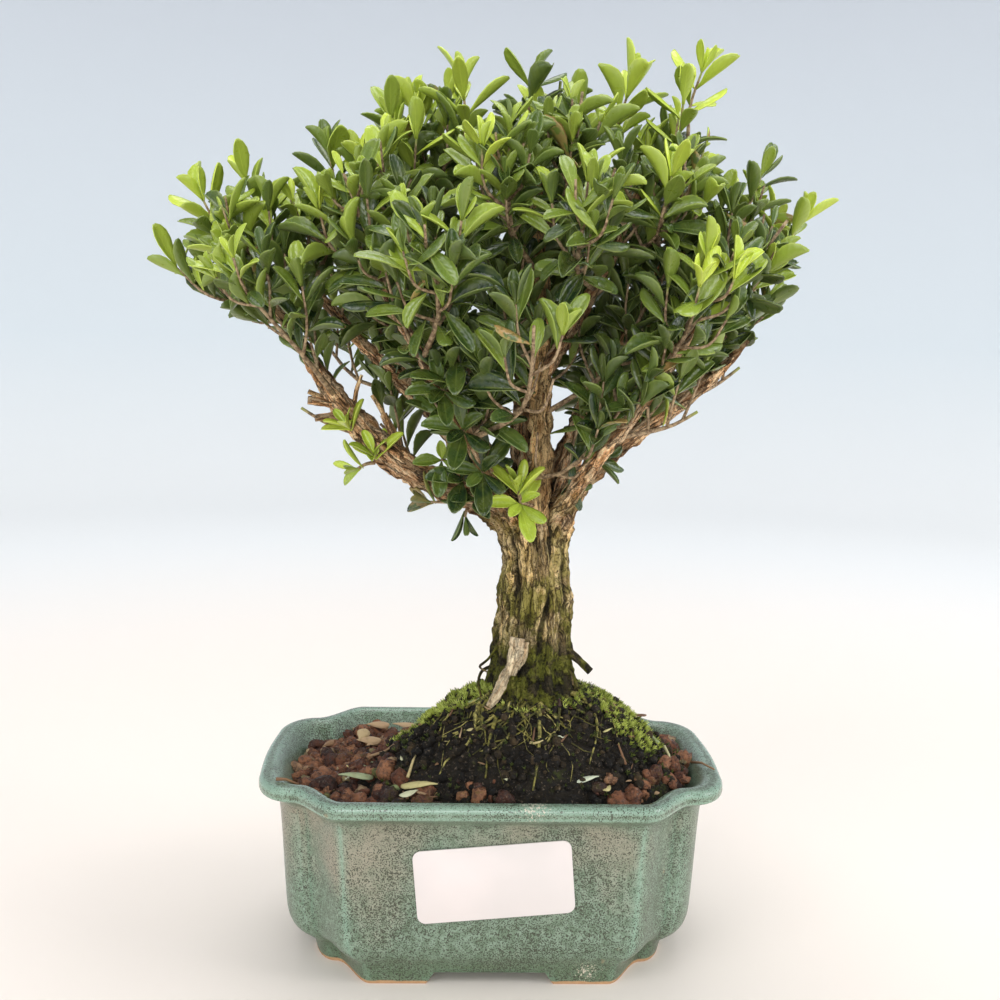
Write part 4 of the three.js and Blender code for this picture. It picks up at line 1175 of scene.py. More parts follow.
def arch_cutter(halves, along_x):
    """A long block whose top is narrower than its bottom, for the gap between two feet."""
    bottom, top = halves
    slope = (bottom - top) / FOOT_ARCH_HEIGHT
    width, height = 2 * (bottom + slope), FOOT_ARCH_HEIGHT + 1
    size = (CUTTER_LENGTH, width, height) if along_x else (width, CUTTER_LENGTH, height)
    piece = cutter("block", (0, 0, (FOOT_ARCH_HEIGHT - 1) / 2), size)
    bpy.ops.object.mode_set(mode="EDIT")
    bpy.ops.mesh.select_all(action="DESELECT")
    shape = bmesh.from_edit_mesh(piece.data)
    for vertex in shape.verts:
        vertex.select_set(vertex.co.z > 0)
    shape.select_flush(True)
    bmesh.update_edit_mesh(piece.data)
    ratio = top / (bottom + slope)
    bpy.ops.transform.resize(
        value=(1, ratio, 1) if along_x else (ratio, 1, 1), center_override=tuple(to_row((0, 0, 0))),
    )
    bpy.ops.object.mode_set(mode="OBJECT")
    return piece


def mark_edges(piece):
    """Stores how sharply the surface bulges, or hollows where it is negative, at each point."""
    shape = bmesh.new()
    shape.from_mesh(piece.data)
    values = []
    for vertex in shape.verts:
        bends = [
            -2 * (edge.other_vert(vertex).co - vertex.co).dot(vertex.normal) / edge.calc_length() ** 2
            for edge in vertex.link_edges if edge.calc_length() > LEAST_EDGE * MM
        ]
        high, low = max(bends, default=0), min(bends, default=0)
        values.append((high if high > -low else low) * MM)
    shape.free()
    piece.data.attributes.new("edge", "FLOAT", "POINT").data.foreach_set("value", values)


class BONSAI_OT_pot(bpy.types.Operator):
    """Makes the glazed pot with its lip, stepped corners, feet and drain holes"""

    bl_idname = "bonsai.pot"
    bl_label = "Pot"

    def execute(self, context):
        rows = rounded(list(POT_OUTSIDE + POT_INSIDE))
        pot = ring_piece("glazed_pot", rows, STEP_CUTS, CORNER_CUTS)
        cuts = [
            cutter("block", (0, 0, 0), (2 * RECESS_HALF[0], 2 * RECESS_HALF[1], 2 * UNDERSIDE)),
            arch_cutter(FRONT_ARCH_HALF, False),
            arch_cutter(SIDE_ARCH_HALF, True),
        ]
        for x in (-DRAIN_OFFSET, DRAIN_OFFSET):
            cuts.append(cutter("cylinder", (x, 0, FLOOR_TOP / 2), (DRAIN_RADIUS, 0, 2 * FLOOR_TOP)))
        clear_selection()
        pot.select_set(True)
        for cut in cuts:
            apply_modifier(pot, "BOOLEAN", operation="DIFFERENCE", solver="EXACT", object=cut)
            bpy.data.objects.remove(cut)
        apply_modifier(
            pot, "BEVEL", width=0.35 * MM, segments=2, limit_method="ANGLE", angle_limit=math.radians(50),
            use_clamp_overlap=True,
        )
        bpy.ops.object.shade_smooth_by_angle(angle=math.radians(38))
        mark_edges(pot)
        dress(pot, "glaze", [glaze_finish(context.scene.bonsai_pot)], "pot")
        return {"FINISHED"}


class BONSAI_OT_label(bpy.types.Operator):
    """Makes the blank paper label on the front panel and finishes the drain screens"""

    bl_idname = "bonsai.label"
    bl_label = "Label and screens"

    def execute(self, context):
        clear_selection()
        bpy.ops.mesh.primitive_plane_add(size=1)
        label = take_active("blank_label")
        bpy.ops.object.mode_set(mode="EDIT")
        bpy.ops.transform.resize(value=(LABEL_SIZE[0] * MM, LABEL_SIZE[1] * MM, 1))
        bpy.ops.mesh.bevel(offset=LABEL_CORNER * MM, segments=8, affect="VERTICES")
        bpy.ops.mesh.extrude_region_move(TRANSFORM_OT_translate={"value": (0, 0, LABEL_THICK * MM)})
        bpy.ops.mesh.select_all(action="SELECT")
        bpy.ops.mesh.normals_make_consistent(inside=False)
        bpy.ops.object.mode_set(mode="OBJECT")
        foot_z, _, foot_inset, _ = PANEL_FOOT
        head_z, _, head_inset, _ = PANEL_HEAD
        lean = math.atan2(foot_inset - head_inset, head_z - foot_z)
        x, z = LABEL_PLACE
        wall = lerp(foot_inset, head_inset, (z - foot_z) / (head_z - foot_z)) - RIM_HALF[1]
        label.matrix_world = (
            Matrix.Translation(to_row((x, wall - GAP, z)))
            @ Matrix.Rotation(math.pi / 2 + lean, 4, "X") @ Matrix.Rotation(LABEL_TILT, 4, "Z")
        )
        settle(label)
        apply_modifier(label, "BEVEL", width=0.09 * MM, segments=2, limit_method="ANGLE")
        bpy.ops.object.shade_smooth_by_angle(angle=math.radians(30))
        dress(label, "label", [paper_finish(context.scene.bonsai_pot)], "paper_label")
        finish = screen_finish()
        for node in ("drain_screen_left", "drain_screen_right"):
            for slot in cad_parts[node].material_slots:
                slot.material = finish
        return {"FINISHED"}


# Soil, moss and roots


def lump_models(name, count, jitter, cuts=1):
    """Rounded crumbs: a cube, cut each way, puffed out and shaken."""
    models = []
    for index in range(count):
        clear_selection()
        bpy.ops.mesh.primitive_cube_add(size=1.3)
        lump = take_active(name)
        bpy.ops.object.mode_set(mode="EDIT")
        bpy.ops.mesh.subdivide(number_cuts=cuts, smoothness=0.9)
        bpy.ops.transform.vertex_random(offset=jitter, seed=index + 1)
        bpy.ops.object.mode_set(mode="OBJECT")
        models.append(read_model(lump))
    return models


def read_model(piece):
    """Takes an object's points and faces, and removes it."""
    points = np.array([vertex.co[:] for vertex in piece.data.vertices])
    faces = [list(face.vertices) for face in piece.data.polygons]
    bpy.data.objects.remove(piece)
    return points, faces


MOUTH = np.array([(x, -y) for x, y in pot_outline(*POT_INSIDE[1][1:], 10, 8) if x >= 0 >= y])


def inside_pot(x, y, margin):
    """True where a point lies inside the pot's mouth, with a margin."""
    across = abs(x) + margin
    return across < MOUTH[-1][0] and abs(y) + margin < np.interp(across, *MOUTH.T)


def under_leaf(x, y):
    """True where a large fallen leaf lies on the soil."""
    for node, *_ in FALLEN_LEAVES:
        low, high = ((np.array(corner) - SHIFT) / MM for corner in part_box(node))
        if low[0] - 1 < x < high[0] + 1 and low[1] - 1 < y < high[1] + 1:
            return True
    return False


def mound_share(x, y):
    """One at the trunk, zero on the flat soil."""
    return (soil_height(x, y) - SOIL_LEVEL) / MOUND_HEIGHT


def scattered(stack, models, spots, draw, squash=0.8):
    """Adds a turned copy of one model at each spot: x, y, z, size and tone."""
    for x, y, z, size, tone in spots:
        points, faces = pick(models, draw)
        axis = Vector((draw() - 0.5, draw() - 0.5, draw() - 0.5)).normalized()
        turn = Quaternion(axis, NEAR_TURN * draw())
        matrix = np.array(turn.to_matrix()) @ np.diag((size, size * lerp(0.55, 1, draw()), size * squash))
        stack.add(points @ matrix.T + (x, y, z), faces, tone=tone)


def soil_bed():
    """The bed: rings up the pot's wall, then rings that close in over the uneven soil."""
    wall = [
        (max(z, FLOOR_TOP + GAP), x + GAP, y + GAP, panel - GAP)
        for z, x, y, panel in reversed(POT_INSIDE[1:])
    ]
    rings = [[(x, y, z) for x, y in pot_outline(*plan, 10, 6)] for z, *plan in wall]
    edge = rings[-1]
    for ring in range(1, BED_RINGS + 1):
        share = ring / (BED_RINGS + 0.5)
        level = []
        for x, y, _ in edge:
            x, y = lerp(x, MOUND_MIDDLE[0], share), lerp(y, MOUND_MIDDLE[1], share)
            rough = noise.fractal(Vector((x, y, 0)) * 0.35, 1.0, 2.1, 4)
            level.append((x, y, soil_height(x, y) - 0.7 + 0.9 * rough))
        rings.append(level)
    points = np.concatenate([np.array(ring) for ring in rings])
    tones = [0.25 + 0.3 * noise.noise(Vector(point) * 0.5) for point in points]
    bed = ShapeStack("tone")
    bed.add(points, ring_faces(len(rings), len(edge)), tone=tones)
    return bed.make("soil_bed")


def granule_spots(look, draw):
    """Spots for the granules, on the flat soil and the mound's foot, and for the larger stones."""
    size = look.granule_size / MM
    spots = []
    while len(spots) < look.granules:
        x, y = lerp(-54, 54, draw()), lerp(-35, 35, draw())
        share = mound_share(x, y)
        if inside_pot(x, y, 0.6) and share < lerp(0.05, 0.32, draw()):
            radius = size * lerp(0.35, 1.75, draw() ** 2.1)
            lift = -1.6 if under_leaf(x, y) else lerp(-0.6, 1.0, draw())
            spots.append((x, y, soil_height(x, y) + lift, radius, draw()))
    return [*spots, *STONES]


def crumb_spots(look, draw):
    """Spots for the peat crumbs, on all of the mound but its top."""
    spots = []
    while len(spots) < look.crumbs:
        x, y = lerp(-32, 54, draw()), lerp(-35, 33, draw())
        share = mound_share(x, y)
        if inside_pot(x, y, 0.6) and share > lerp(0.02, 0.12, draw()) and share < 0.99:
            radius = lerp(0.35, 1.6, draw() ** 2.6)
            lift = 1.5 * noise.noise(Vector((x, y, 3)) * 0.25) + lerp(-0.3, 0.6, draw())
            lift = -1.2 if under_leaf(x, y) else lift
            spots.append((x, y, soil_height(x, y) + lift, radius, draw() ** 2))
    return spots


class BONSAI_OT_soil(bpy.types.Operator):
    """Makes the soil bed, its granules and the peat on the mound"""

    bl_idname = "bonsai.soil"
    bl_label = "Soil"

    def execute(self, context):
        look = context.scene.bonsai_soil
        peat = ((0.0, (0.006, 0.004, 0.002)), (0.6, (0.026, 0.018, 0.008)), (1.0, (0.08, 0.052, 0.022)))
        clay = (
            (0.0, (0.04, 0.018, 0.013)), (0.3, (0.13, 0.045, 0.022)), (0.66, look.granule),
            (0.88, (0.35, 0.155, 0.075)), (0.95, (0.46, 0.33, 0.19)), (1.0, (0.17, 0.16, 0.05)),
        )
        dress(soil_bed(), "soil", [soil_finish("soil_bed", peat, 900)], "soil")
        draw = random_from(SEEDS["granules"])
        granules = ShapeStack("tone")
        scattered(granules, lump_models("granule", 8, 0.42, 2), granule_spots(look, draw), draw)
        dress(granules.make("soil_granules"), "soil", [soil_finish("fired_clay_granules", clay, 700, 0.4)])
        draw = random_from(SEEDS["crumbs"])
        crumbs = ShapeStack("tone")
        scattered(crumbs, lump_models("peat_crumb", 5, 0.3), crumb_spots(look, draw), draw)
        dress(crumbs.make("peat_mound_crumbs"), "soil", [soil_finish("peat_crumbs", peat, 900)])
        return {"FINISHED"}


def moss_amount(x, y):
    """How mossy a spot on the soil is, from zero to one."""
    foot = 0.4 - abs(math.hypot(x - MOUND_MIDDLE[0], y - MOUND_MIDDLE[1]) - 14.5) / 6
    stray = 0.05 if mound_share(x, y) > 0.04 else 0.0
    patches = (1 - math.hypot((x - px) / rx, (y - py) / ry) for px, py, rx, ry in MOSS_PATCHES)
    return max(foot, stray, *patches)


def moss_tuft():
    """One tuft: tapered blades, each leaning out more than the one before."""
    clear_selection()
    bpy.ops.mesh.primitive_cone_add(
        vertices=3, radius1=0.2, radius2=0.03, depth=1.2, end_fill_type="NGON",
    )
    blade, blade_faces = read_model(take_active("moss_blade"))
    blade = blade + (0, 0, 0.55)
    points, faces = [], []
    for index in range(TUFT_BLADES):
        turn = LEAF_TWIST * index
        lean = Quaternion((math.cos(turn), math.sin(turn), 0), 0.15 + 0.16 * index)
        size = lerp(1.2, 0.8, index / (TUFT_BLADES - 1))
        points.append(blade @ np.array(lean.to_matrix()).T * size)
        faces += [[corner + index * len(blade) for corner in face] for face in blade_faces]
    return np.concatenate(points), faces


def add_moss(stack, count):
    """Sets tufts of moss square to the soil."""
    points, faces = moss_tuft()
    draw = random_from(SEEDS["moss"])
    placed = 0
    while placed < count:
        x, y = lerp(-30, 54, draw()), lerp(-34, 33, draw())
        if not inside_pot(x, y, 1.0) or moss_amount(x, y) < 0.6 * draw() ** 0.8:
            continue
        slope = Vector((
            soil_height(x - 1, y) - soil_height(x + 1, y),
            soil_height(x, y - 1) - soil_height(x, y + 1), 2,
        )).normalized()
        turn = Vector((0, 0, 1)).rotation_difference(slope) @ Quaternion((0, 0, 1), NEAR_TURN * draw())
        size = lerp(0.65, 1.4, draw())
        lump = 1.5 * noise.noise(Vector((x, y, 9)) * 0.3)
        place = (x, y, soil_height(x, y) + 0.4 + max(lump, -0.4))
        tone = lerp(0.15, 1.0, draw()) * smooth_step(moss_amount(x, y), -0.05, 0.4)
        stack.add(points @ np.array(turn.to_matrix()).T * size + place, faces, tone=tone)
        placed += 1


def add_thin_roots(stack):
    """Thin roots that run down the mound and sink into it."""
    draw = random_from(SEEDS["thin_roots"])
    for index in range(THIN_ROOTS):
        turn = NEAR_TURN * (index + draw()) / THIN_ROOTS
        turn -= 0.6 * math.sin(turn - 4.0)
        length = lerp(6, 21, draw() ** 1.4)
        bend, start = lerp(-0.5, 0.5, draw()), lerp(9.5, 16, draw())
        width = lerp(0.18, 0.62, draw() ** 2)
        points, radii = [], []
        for step in range(THIN_ROOT_STEPS + 1):
            share = step / THIN_ROOT_STEPS
            angle = turn + bend * share * share + 0.12 * math.sin(7 * share + index)
            x, y, z = mound_spot(start + length * share, angle)
            lift = 0.7 + 0.6 * math.sin(5.1 * share + 2.0 * index) * draw()
            points.append((x, y, z + lerp(lift, -0.6, share ** 3)))
            radii.append(width * (1 - 0.6 * step / THIN_ROOT_STEPS))
        add_tube(stack, points, radii, 5, tone=draw())


class BONSAI_OT_moss(bpy.types.Operator):
    """Makes the moss tufts and the thin roots that run down the mound"""

    bl_idname = "bonsai.moss"
    bl_label = "Moss and thin roots"

    def execute(self, context):
        look = context.scene.bonsai_soil
        moss = ShapeStack("tone")
        add_moss(moss, look.tufts)
        dress(moss.make("moss_tufts"), "young_leaf", [moss_finish(look)])
        roots = ShapeStack("tone")
        add_thin_roots(roots)
        dress(roots.make("thin_roots"), "bark", [root_finish()])
        return {"FINISHED"}


def add_small_litter(stack, model):
    """Scatters short sticks and scraps of dry leaf on the soil."""
    draw = random_from(SEEDS["litter"])
    for index in range(LITTER_BITS):
        large = index < LARGE_BITS
        x, y = lerp(-48, 50, draw()), lerp(-34, 20, draw())
        turn = NEAR_TURN * draw()
        length = lerp(3, 9, draw()) if large else lerp(1.4, 4.5, draw())
        if not inside_pot(x, y, 0.45 * length) or mound_share(x, y) > (0.5 if large else 0.95):
            continue
        tone = draw()
        if index % 2:
            points = []
            for step in range(4):
                px = x + step * length * math.cos(turn) / 3
                py = y + step * length * math.sin(turn) / 3
                points.append((px, py, soil_height(px, py) + 0.9 + 0.6 * draw()))
            thick = min(length / 9, 0.5)
            add_tube(stack, points, [thick, 0.9 * thick, 0.75 * thick, 0.5 * thick], 5, tone=tone)
        else:
            along = Vector((math.cos(turn), math.sin(turn), lerp(-0.1, 0.25, draw()))).normalized()
            face = flattened(Vector((0, 0, 1)), along)
            lift = lerp(1.9, 1.0, smooth_step(mound_share(x, y), 0.05, 0.3))
            root = Vector((x, y, soil_height(x, y) + lift))
            add_leaf(stack, model, root, along, face, length, lerp(0.3, 0.55, draw()), tone=tone)


class BONSAI_OT_litter(bpy.types.Operator):
    """Lays the fallen leaves and bits of stick on the soil"""

    bl_idname = "bonsai.litter"
    bl_label = "Fallen leaves"

    def execute(self, context):
        model = leaf_model("fallen", -0.10, 0.5, LEAF_COLUMNS)
        finish = litter_finish()
        for index, (node, turn, tone) in enumerate(FALLEN_LEAVES):
            low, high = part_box(node)
            middle = (np.array((low + high) / 2) - SHIFT) / MM
            length = (high - low).xy.length / MM * 0.92
            along = Vector((math.cos(turn), math.sin(turn), 0))
            root = Vector(middle) - along * (length / 2) + Vector((0, 0, 0.5))
            litter = ShapeStack("tone")
            add_leaf(litter, model, root, along, Vector((0, 0, 1)), length, 0.42, tone=tone)
            dress(litter.make(f"dry_leaf_{index + 1}"), "fallen_leaf", [finish], node)
        bits = ShapeStack("tone")
        for foot, tip, ratio, tone in CHIPS:
            foot, tip = Vector(foot), Vector(tip)
            along = (tip - foot).normalized()
            face = flattened(Vector((0.2, -0.3, 1)), along)
            add_leaf(bits, model, foot, along, face, (tip - foot).length, ratio, tone=tone)
        for points, radius, tone in STICKS:
            add_tube(bits, points, tapered(radius, len(points)), 6, tone=tone)
        add_small_litter(bits, model)
        dress(bits.make("dry_bits"), "fallen_leaf", [finish])
        return {"FINISHED"}


# Trunk and limbs


def limb_points(limb):
    """The middle points of a limb."""
    return [Vector(row[:3]) for row in limb]


def trunk_rings():
    """The middle, the radius and the place in the table of each ring of the trunk."""
    rows = [Vector((x, y, z)) for z, x, y, _ in TRUNK]
    widths = [Vector((row[3], 0, 0)) for row in TRUNK]
    for step in range(TRUNK_RINGS + 1):
        share = step / TRUNK_RINGS
        yield curve_point(rows, share), curve_point(widths, share).x, share * (len(TRUNK) - 1)


def trunk_reach(ring, z, radius, index, crevice):
    """How far the bark stands from the trunk's middle, and how deep in a crevice it lies."""
    turn = math.atan2(ring.y, ring.x)
    flute = math.cos(6 * turn + 0.35 * index) + 0.5 * math.cos(9 * turn - 0.2 * index)
    wander = 0.9 * noise.noise(Vector((1.3 * ring.x, 1.3 * ring.y, 0.022 * z)))
    wander += 0.45 * noise.noise(Vector((3.4 * ring.x, 3.4 * ring.y, 0.05 * z + 5)))
    ridge = abs(math.cos((TRUNK_RIDGES * turn / 2 / math.pi + wander) * math.pi)) ** 0.5
    depth = 0.75 + 0.9 * noise.noise(Vector((2.1 * ring.x, 2.1 * ring.y, 0.045 * z + 11)))
    gap = (1 - ridge) * max(depth, 0.15)
    for place, width, deep in TRUNK_SEAMS:
        sway = 0.3 * noise.noise(Vector((0, place, 0.05 * z)))
        away = math.remainder(turn - place - 0.004 * (z - 95) - sway, 2 * math.pi)
        gap += deep * math.exp(-(away / width) ** 2) * (0.7 + 0.6 * noise.noise(Vector((place, 3, 0.07 * z))))
    streak = noise.noise(Vector((7 * ring.x, 7 * ring.y, 0.10 * z)))
    knob = noise.noise(Vector((3 * ring.x + 7, 3 * ring.y, 0.26 * z)))
    crumb = noise.fractal(Vector((20 * ring.x, 20 * ring.y, 0.6 * z)), 1.0, 2.0, 3)
    knobbly = smooth_step(z, 106, 117)
    reach = 0.93 * radius * (1 + 0.6 * FLUTE_DEPTH * flute) + 0.8
    reach += 0.8 * streak + 0.42 * crumb + lerp(0.55, 1.7, knobbly) * knob - 1.5 * crevice * gap
    return reach, min(max(1.5 * gap + 0.4 * max(-streak - 0.1, 0) - 0.1, 0), 1)


def add_trunk(stack, crevice):
    """Adds the fluted trunk, ring by ring."""
    points, hollows, flows = [], [], []
    for centre, radius, index in trunk_rings():
        for side in range(TRUNK_SIDES):
            turn = side / TRUNK_SIDES * 2 * math.pi
            ring = Vector((math.cos(turn), math.sin(turn), 0))
            reach, hollow = trunk_reach(ring, centre.z, radius, index, crevice)
            points.append(centre + ring * reach)
            hollows.append(hollow)
            flows.append((10 * ring.x, 10 * ring.y, centre.z))
    faces = ring_faces(TRUNK_RINGS + 1, TRUNK_SIDES)
    stack.add(np.array(points), faces, hollow=hollows, flow=np.array(flows))


def add_limb(stack, points, radii, sides, rough, seed, pale=(0.0, 0.0), slot=0, **values):
    """A limb with rough, flaky bark. Its rings lie about a millimetre apart."""
    length = path_length(points)
    count = max(int(length / 0.95), 6)
    path, widths = [], []
    for step in range(count + 1):
        share = step / count
        place = share * (len(points) - 1)
        low = min(int(place), len(points) - 2)
        path.append(curve_point(points, share))
        widths.append(lerp(radii[low], radii[low + 1], place - low))
    hollows, flows = [], []

    def shape(ring, side):
        """The share of the radius at a point, whose hollow and place it notes."""
        turn = side / sides * 2 * math.pi
        spread = 1.3 * widths[ring] ** 0.6
        at = Vector((spread * math.cos(turn), spread * math.sin(turn), 0.105 * ring))
        ridge = noise.noise(at + Vector((seed, 0, 0)))
        flake = noise.noise(Vector((at.x * 2.2, at.y * 2.2, at.z * 2.6 + seed)))
        crumb = noise.noise(Vector((at.x * 4.5, at.y * 4.5, at.z * 7 + seed)))
        hollows.append(min(max(-1.4 * ridge - 0.9 * flake - 0.1, 0), 1))
        flows.append((
            widths[ring] * math.cos(turn), widths[ring] * math.sin(turn), length * ring / count + 40 * seed,
        ))
        return 1 + rough * (1.1 * ridge + 0.8 * flake + 0.45 * crumb)

    corners, faces = tube(path, widths, sides, shape)
    fade = np.repeat([lerp(*pale, ring / count) for ring in range(count + 1)], sides)
    stack.add(corners, faces, slot, hollow=hollows, flow=np.array(flows), pale=fade, **values)


def root_paths():
    """The points and radii of each surface root."""
    draw = random_from(CROWN_SEED + 2)
    for index in range(ROOT_COUNT):
        turn = (index + 0.6 * draw()) / ROOT_COUNT * 2 * math.pi
        length = lerp(*ROOT_LENGTH, draw())
        bend = lerp(-0.5, 0.5, draw())
        points = []
        for share in ROOT_SHARES:
            x, y, z = mound_spot(9.5 + length * share, turn + 1.5 * bend * share * share)
            points.append(Vector((x, y, z + lerp(0.9, -0.2, share))))
        yield points, [0.4 * ROOT_RADIUS * (1 - 0.7 * share) for share in ROOT_SHARES]


class BONSAI_OT_wood(bpy.types.Operator):
    """Makes the fluted trunk, its limbs, cut stubs and surface roots"""

    bl_idname = "bonsai.wood"
    bl_label = "Trunk and limbs"

    def execute(self, context):
        look = context.scene.bonsai_wood
        wood = ShapeStack("hollow", "flow", "pale", "tone")
        add_trunk(wood, look.crevice / MM)
        for seed, (name, limb) in enumerate(LIMBS.items()):
            radii, pale = [row[3] for row in limb], LIMB_PALE.get(name, (0.0, 0.0))
            add_limb(wood, limb_points(limb), radii, 18, 0.42, 3.7 * seed, pale)
        for seed, (root, tip, radius) in enumerate(STUBS):
            points = [Vector(root), (Vector(root) + Vector(tip)) / 2 + Vector((0.3, 0, 0.3)), Vector(tip)]
            add_limb(wood, points, [radius, 0.95 * radius, 0.75 * radius], 10, 0.3, 60 + seed)
        for seed, (points, radius) in enumerate(TWIGS):
            points = [Vector(point) for point in points]
            add_limb(wood, points, tapered(radius, len(points)), 8, 0.25, 75 + seed, (0.2, 0.5))
        for seed, (points, radii, pale) in enumerate(BARK_SLAB):
            add_limb(wood, [Vector(point) for point in points], radii, 16, 0.6, 83 + seed, (pale, pale))
        for seed, (points, radii) in enumerate(root_paths()):
            add_limb(wood, points, radii, 10, 0.6, 90 + seed, slot=1, tone=0.2 + 0.08 * seed)
        piece = wood.make("trunk_limbs_and_roots")
        dress(piece, "bark", [bark_finish(look), root_finish()], "trunk_and_branches")
        return {"FINISHED"}


# Foliage


def leaf_model(name, cup, droop, columns):
    """One leaf, a unit long: a grid shaped to the outline, bent, and given its thickness."""
    clear_selection()
    wide = len(columns)
    bpy.ops.mesh.primitive_grid_add(x_subdivisions=wide - 1, y_subdivisions=len(LEAF_ROWS) - 1, size=1)
    leaf = take_active(name)
    points = sorted(leaf.data.vertices, key=lambda vertex: (round(vertex.co.y, 4), vertex.co.x))
    y = z = 0.0
    marks = {}
    for row, (along, width) in enumerate(LEAF_ROWS):
        if row:
            step = along - LEAF_ROWS[row - 1][0]
            bend = -droop * LEAF_ROWS[row - 1][0]
            y += step * math.cos(bend)
            z += step * math.sin(bend)
        for across, vertex in zip(columns, points[row * wide:row * wide + wide]):
            fold = cup * width * across * across - (0.012 * width if across == 0 else 0)
            vertex.co = (0.5 * width * across, y, z + fold)
            marks[vertex.index] = (across, along)
    count = len(points)
    apply_modifier(leaf, "SOLIDIFY", thickness=LEAF_THICKNESS, offset=-1)
    across = np.array([marks[index % count][0] for index in range(len(leaf.data.vertices))])
    along = np.array([marks[index % count][1] for index in range(len(leaf.data.vertices))])
    under = np.array([float(index >= count) for index in range(len(leaf.data.vertices))])
    shape, faces = read_model(leaf)
    return shape, faces, {"across": across, "along": along, "under": under}


def add_leaf(stack, model, root, along, face, length, ratio, **values):
    """Adds a copy of the leaf with its foot at root, if it stays inside the model's box."""
    points, faces, marks = model[root[1] > PLAIN_LEAVES_BEHIND] if len(model) == 2 else model
    side = along.cross(face).normalized()
    face = side.cross(along).normalized()
    matrix = np.array((side * (ratio * length), along * length, face * length))
    placed = points @ matrix + np.array(root)
    low, high = np.array(CAD_BOX[0]) + BOX_MARGIN, np.array(CAD_BOX[1]) - BOX_MARGIN
    if (to_row(placed) >= low).all() and (to_row(placed) <= high).all():
        stack.add(placed, faces, **marks, **values)


def limb_samples(limb):
    """Points along a limb, each with its share of the length."""
    points = limb_points(limb)
    steps = (len(limb) - 1) * 4
    for step in range(steps + 1):
        yield curve_point(points, step / steps), step / steps


def plan_sprays():
    """The same sprays as the model's: where each starts, bends and ends."""
    draw = random_from(CROWN_SEED)
    samples = [point for limb in LIMBS.values() for point, share in limb_samples(limb) if share > 0.3]
    golden = math.pi * (3 - math.sqrt(5))
    for index in range(SHELL_SPRAYS + INNER_SPRAYS):
        inner = index >= SHELL_SPRAYS
        place = (index - SHELL_SPRAYS + 0.5) / INNER_SPRAYS if inner else (index + 0.5) / SHELL_SPRAYS
        tilt = math.acos(lerp(1, math.cos(CROWN_EDGE), place)) + 0.05 * (draw() - 0.5)
        turn = index * golden + (1.1 if inner else 0.4) + 0.25 * (draw() - 0.5)
        direction = Vector((math.sin(tilt) * math.cos(turn), math.sin(tilt) * math.sin(turn), math.cos(tilt)))
        past = min(max((tilt - CROWN_SHOULDER) / (CROWN_EDGE - CROWN_SHOULDER), 0), 1)
        depth = lerp(0.56, 0.68, draw()) if inner else lerp(0.93, 1, draw())
        tip = direction * (lerp(*CROWN_RADIUS, past) * depth)
        tip.y *= CROWN_DEPTH_RATIO
        heading = tip.normalized()
        tip += GROWTH_POINT
        heading.z += 0.25
        heading.normalize()
        end = tip - heading * TIP_MARGIN
        bend = end - heading * LEAFY_LENGTH
        aim = bend - heading * FORK_REACH

        def cost(point):
            """How badly a stem from this point would suit the spray."""
            crowding = max(0, 8 - (point - bend).length)
            return (point - aim).length + 4 * crowding + 3 * max(0, 4 - (bend.z - point.z))

        fork = min(samples, key=cost)
        bright = not inner and draw() < lerp(0.65, 0.15, place)
        roll = draw() * math.pi
        yield {
            "number": index + 1, "fork": fork, "bend": bend, "end": end, "heading": heading,
            "bright": bright, "inner": inner, "roll": roll, "place": place,
        }


def crown_share(point):
    """How far out in the crown a point lies: zero at the growth point, one at the outside."""
    away = point - GROWTH_POINT
    away.y /= CROWN_DEPTH_RATIO
    flat = math.hypot(away.x, away.y)
    tilt = math.degrees(math.atan2(flat, away.z))
    left, right = (np.interp(tilt, *zip(*reach)) for reach in (REACH_LEFT, REACH_RIGHT))
    return away.length / lerp(left, right, 0.5 + 0.5 * away.x / max(flat, 1e-6))


def hides_stem(point):
    """True where a leaf would cover the front stem."""
    (left, right), front, (low, high) = STEM_WINDOW
    return left < point.x < right and point.y < front and low < point.z < high


def in_crown(point, limit):
    """True inside the crown's outside and above its underside."""
    lowest = np.interp(point.x, UNDERSIDE_PLACES, UNDERSIDE_HEIGHTS) + UNDERSIDE_RISE * abs(point.y)
    return crown_share(point) < limit and point.z > lowest


def add_stem(stack, path, radii, age_tip, chance):
    """A thin stem, brown at its foot and green at its tip."""
    rings, sides = 8, 5
    points = [curve_point(path, step / rings) for step in range(rings + 1)]
    widths = [lerp(radii[0], radii[1], step / rings) for step in range(rings + 1)]
    ages = [age_tip * smooth_step(step / rings, 0.72, 1.0) for step in range(rings + 1)]
    add_tube(stack, points, widths, sides, slot=1, age=np.repeat(ages, sides), chance=chance)
    return path_length(points)


